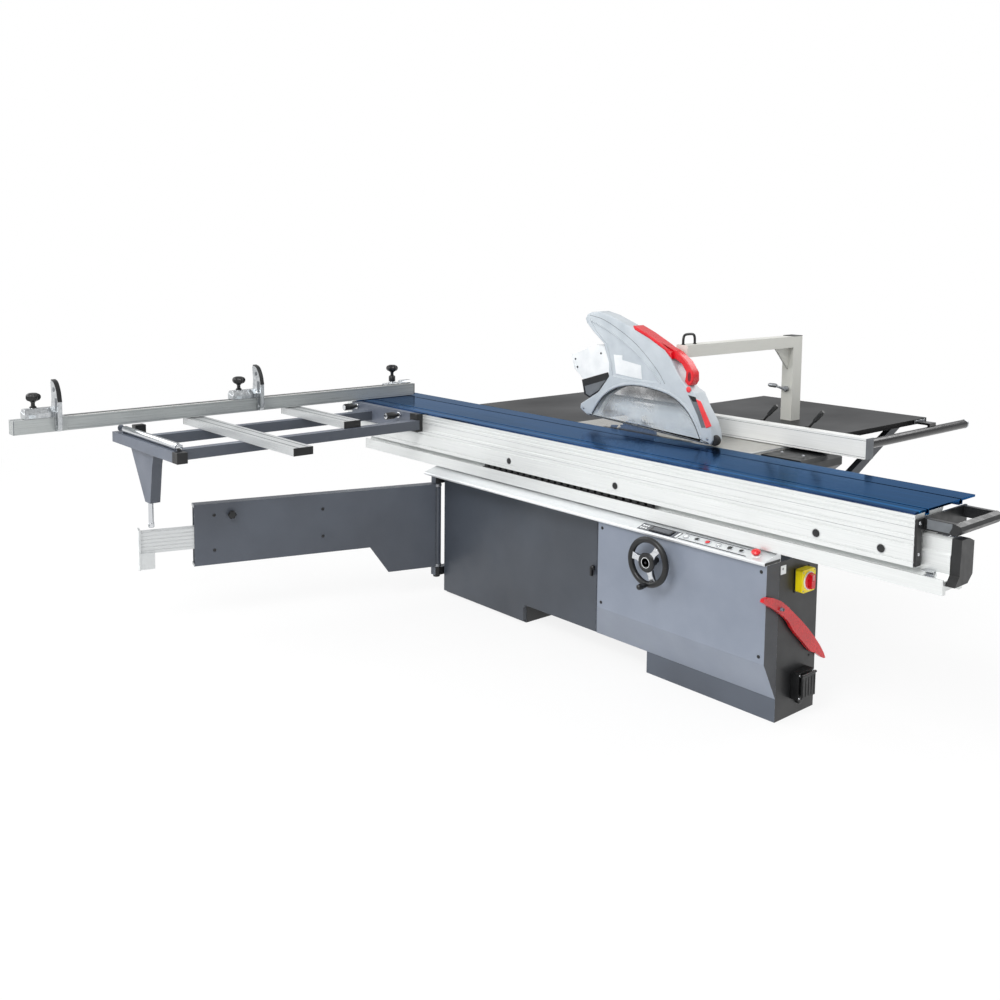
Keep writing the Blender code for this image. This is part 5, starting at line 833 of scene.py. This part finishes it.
piece("far_pane", [prism(HIGH_ARCH, "Y", NEAR + THICK - 0.0068, NEAR + THICK - 0.0044)], "clear", "guard")
piece("pane_bolts", [bolt("Y", (x, NEAR + 0.0008, z), -1, 0.005, 0.0022)
      for x, z in ((0.030, 0.9135), (0.170, 0.9045))], "steel", "guard")
outer = [(-0.006, 1.3405), (0.060, 1.3135), (0.145, 1.2760), (0.224, 1.2480), (0.280, 1.2100),
    (0.314, 1.1660), (0.316, 1.1320), (0.304, 1.1120), (0.286, 1.1080)]
under = [(0.2715, 1.126), (0.276, 1.148), (0.277, 1.166), (0.252, 1.198), (0.222, 1.212), (0.201, 1.2225),
    (0.1728, 1.2532), (0.0855, 1.2972), (-0.004, 1.3300)]
piece("red_grip", [prism(outer + under, "Y", MIDDLE - 0.022, MIDDLE + 0.022)], "red", "guard", 0.0075, 3,
    stands_for=("guard_handle",))
piece("red_cap", [prism([(-0.012, 1.3440), (0.060, 1.3160), (0.150, 1.2735), (0.206, 1.2440),
        (0.213, 1.2130), (0.172, 1.2490), (0.085, 1.2920), (0.000, 1.3250)], "Y", NEAR - 0.0030,
        MIDDLE + 0.034)], "red", "guard", 0.0040, 2)
OVAL_SIDES = 20
oval = [(0.2965 + 0.0085 * math.cos(a), 1.1470 + 0.0205 * math.sin(a))
    for a in [2 * math.pi * k / OVAL_SIDES for k in range(OVAL_SIDES)]]
piece("grip_recess", [prism(oval, "Y", MIDDLE - 0.0226, MIDDLE - 0.0214)], "recess", "guard", 0.0004)
lower = [(0.347, 1.060), (0.371, 1.054), (0.430, 0.958), (0.403, 0.946)]
piece("red_strip", [prism(lower, "Y", NEAR - 0.0030, NEAR + 0.0006)], "coral", "guard", 0.0012)
piece("strip_inset", [prism([(0.306, 1.070), (0.344, 1.064), (0.399, 0.948), (0.378, 0.944),
        (0.356, 0.992)], "Y", NEAR - 0.0012, NEAR + 0.0002)], "grey_pad", "guard", 0.0006)
piece("inset_top", [prism([(0.304, 1.073), (0.343, 1.068), (0.353, 1.050), (0.330, 1.048)], "Y",
        NEAR - 0.0022, NEAR)], "black", "guard", 0.0008)
piece("guard_button", [turned([(0.0125, 0.0004), (0.0125, -0.0020), (0.0100, -0.0034), (0, -0.0038)], "Y",
        (0.306, NEAR - 0.0001, 1.096), 28)], "coral", "guard")
piece("blank_sticker", [prism([(-0.126, 1.206), (-0.073, 1.206), (-0.073, 1.186), (0.036, 1.172),
        (0.044, 1.112), (-0.110, 1.122)], "Y", NEAR + 0.0037, NEAR + 0.0044)], "white", "guard", 0.0002)
piece("guard_bolts", [bolt("Y", (x, NEAR, z), -1, 0.006, 0.003)
      for x, z in ((-0.303, 0.946), (0.408, 0.902))], "steel", "guard")
piece("nose_roller", [turned([(0.012, -0.014), (0.0205, -0.012), (0.0225, -0.006), (0.0225, 0.006),
        (0.0205, 0.012), (0.012, 0.014)], "Y", (0.430, MIDDLE - 0.010, 0.8965), 36)], "rubber", "guard")
piece("dust_neck", [prism([(-0.3215, 1.074), (-0.304, 1.008), (-0.272, 0.996), (-0.214, 1.030),
        (-0.1515, 1.106), (-0.158, 1.124)], "Y", NEAR + 0.0040, NEAR + 0.0057)], "satin_black", "guard",
    0.0010)
piece("dust_gap", [prism([(-0.3005, 1.046), (-0.292, 1.012), (-0.268, 1.004), (-0.216, 1.036),
        (-0.170, 1.088)], "Y", NEAR + 0.0034, NEAR + 0.0040)], "grey_pad", "guard", 0.0002)
piece("dust_screws", [bolt("Y", (x, NEAR + 0.006, z), -1, 0.005, 0.0024)
      for x, z in ((-0.205, 1.205), (-0.366, 1.166), (-0.352, 1.130))], "black", "guard")
piece("dust_flange", [prism([(-0.3935, 1.1855), (-0.3715, 1.1190), (-0.3655, 1.1215), (-0.3875, 1.1875)],
        "Y", NEAR + 0.004, NEAR + THICK - 0.004)], "white", "guard", 0.0012)

# beam handle and post lever
BEAM_X = 0.205
HANDLE = ((0.022, 1.2716), (0.024, 1.300), (0.034, 1.3125), (0.062, 1.3150), (0.088, 1.3125),
    (0.098, 1.300), (0.100, 1.2716))
piece("beam_handle", [tube([(BEAM_X, y, z) for y, z in HANDLE], 0.0055, 12)], "black", "machine")
piece("handle_feet", [turned([(0.008, 1.2712), (0.008, 1.2735), (0.006, 1.2745)], "Z", (BEAM_X, y, 0), 24)
      for y in (0.0235, 0.100)], "black", "machine")
piece("post_lever", [turned([(0.013, -0.0004), (0.013, -0.014), (0.009, -0.018)], "Y",
        (BEAM_X, 0.797, 1.020), 28), tube([(BEAM_X, 0.784, 1.020), (0.185, 0.781, 1.023),
        (0.160, 0.776, 1.030)], 0.0055, 12),
      turned([(0.006, 0.0), (0.0095, 0.006), (0.0105, 0.040), (0.007, 0.046)], "X", (0.118, 0.775, 1.032),
        24)], "steel", "machine")
piece("post_cap", [block((0.1745, 0.7965, 1.2712), (0.2355, 0.8675, 1.2738))], "black", "machine", 0.0010)
piece("beam_seams", [block((0.1746, 0.016, z), (0.1750, 0.790, z + 0.0015)) for z in (1.222, 1.266)],
    "grey_pad", "machine")

# ---------------------------------------------------------------- floor, light and camera
stage = Graph("pale_floor")
grain = stage.noise(2.0, detail=3)
tone = stage.mix(stage.spread(grain, 0.3, 0.7), rgb(246, 246, 246), rgb(243, 243, 243))
stage.link(tone, stage.shader.inputs["Base Color"])
stage.shader.inputs["Roughness"].default_value = 0.9
glow = stage.node("ShaderNodeEmission")
path = stage.node("ShaderNodeLightPath")
seen = stage.math("MAXIMUM", path.outputs["Is Camera Ray"], path.outputs["Is Glossy Ray"])
seen = stage.math("MAXIMUM", seen, path.outputs["Is Transmission Ray"])
away = stage.node("ShaderNodeVectorMath", operation="LENGTH")
stage.link(stage.coords, away.inputs[0])
share = stage.math("MULTIPLY", seen, stage.spread(away.outputs["Value"], 1.5, 5.5, 0.86, 1.0))
blend = stage.node("ShaderNodeMixShader")
out = stage.tree.nodes["Material Output"]
stage.link(share, blend.inputs[0])
stage.link(stage.shader.outputs[0], blend.inputs[1])
stage.link(glow.outputs[0], blend.inputs[2])
stage.link(blend.outputs[0], out.inputs["Surface"])
floor_mesh = bpy.data.meshes.new("floor")
REACH = 30.0
floor_mesh.from_pydata([(-REACH, -REACH, -0.0006), (REACH, -REACH, -0.0006), (REACH, REACH, -0.0006),
      (-REACH, REACH, -0.0006)], [], [(0, 1, 2, 3)])
floor = bpy.data.objects.new("floor", floor_mesh)
bpy.context.scene.collection.objects.link(floor)
floor_mesh.materials.append(stage.material)

world = bpy.data.worlds.new("studio")
bpy.context.scene.world = world
world.use_nodes = True
nodes, links = world.node_tree.nodes, world.node_tree.links
nodes.clear()
lit = nodes.new("ShaderNodeBackground")
lit.inputs["Strength"].default_value = 0.72
shown = nodes.new("ShaderNodeBackground")
shown.inputs["Color"].default_value = (1, 1, 1, 1)
shown.inputs["Strength"].default_value = 1.0
rays = nodes.new("ShaderNodeLightPath")
either = nodes.new("ShaderNodeMath")
either.operation = "MAXIMUM"
links.new(rays.outputs["Is Camera Ray"], either.inputs[0])
links.new(rays.outputs["Is Transmission Ray"], either.inputs[1])
place = nodes.new("ShaderNodeTexCoord")
parts = nodes.new("ShaderNodeSeparateXYZ")
links.new(place.outputs["Generated"], parts.inputs[0])
ramp = nodes.new("ShaderNodeValToRGB")
for stop, position, tone in zip(ramp.color_ramp.elements, (0.42, 0.75),
    ((0.62, 0.64, 0.67, 1), (1, 1, 1, 1))):
    stop.position = position
    stop.color = tone
height = nodes.new("ShaderNodeMapRange")
height.inputs["From Min"].default_value = -1.0
links.new(parts.outputs["Z"], height.inputs["Value"])
links.new(height.outputs["Result"], ramp.inputs["Fac"])
links.new(ramp.outputs["Color"], lit.inputs["Color"])
both = nodes.new("ShaderNodeMixShader")
links.new(either.outputs[0], both.inputs[0])
links.new(lit.outputs[0], both.inputs[1])
links.new(shown.outputs[0], both.inputs[2])
links.new(both.outputs[0], nodes.new("ShaderNodeOutputWorld").inputs["Surface"])


for name, place, aim, size, power in (("key", (1.2, -5.2, 5.2), (0.0, 0.0, 0.6), 3.5, 260),
    ("fill", (-4.6, -3.0, 3.4), (0.0, 0.0, 0.7), 4.0, 90),
    ("back", (1.0, 4.6, 4.6), (0.0, 0.0, 0.8), 4.0, 120)):
    lamp = bpy.data.lights.new(name, "AREA")
    lamp.shape = "DISK"
    lamp.size = size
    lamp.energy = power
    light = bpy.data.objects.new(name, lamp)
    light.location = place
    light.rotation_euler = (Vector(aim) - Vector(place)).to_track_quat("-Z", "Y").to_euler()
    bpy.context.scene.collection.objects.link(light)

yaw, pitch, roll = math.radians(138.77), math.radians(5.55), math.radians(-0.59)
ahead = Vector((math.cos(pitch) * math.cos(yaw), math.cos(pitch) * math.sin(yaw), -math.sin(pitch)))
right = Vector((math.sin(yaw), -math.cos(yaw), 0))
down = ahead.cross(right)
turned_right = right * math.cos(roll) + down * math.sin(roll)
turned_down = -right * math.sin(roll) + down * math.cos(roll)
lens = bpy.data.cameras.new("view")
lens.sensor_width = 36.0
lens.lens = 39.528                       # millimetres
lens.shift_y = -0.151
lens.clip_end = 200.0
camera = bpy.data.objects.new("view", lens)
rotation = Matrix((turned_right, -turned_down, -ahead)).transposed()
CAMERA_PLACE = Vector((3.197, -3.638, 1.698)) + SHIFT
camera.matrix_world = Matrix.Translation(CAMERA_PLACE) @ rotation.to_4x4()
bpy.context.scene.collection.objects.link(camera)
bpy.context.scene.camera = camera
bpy.context.scene.view_settings.view_transform = "Standard"
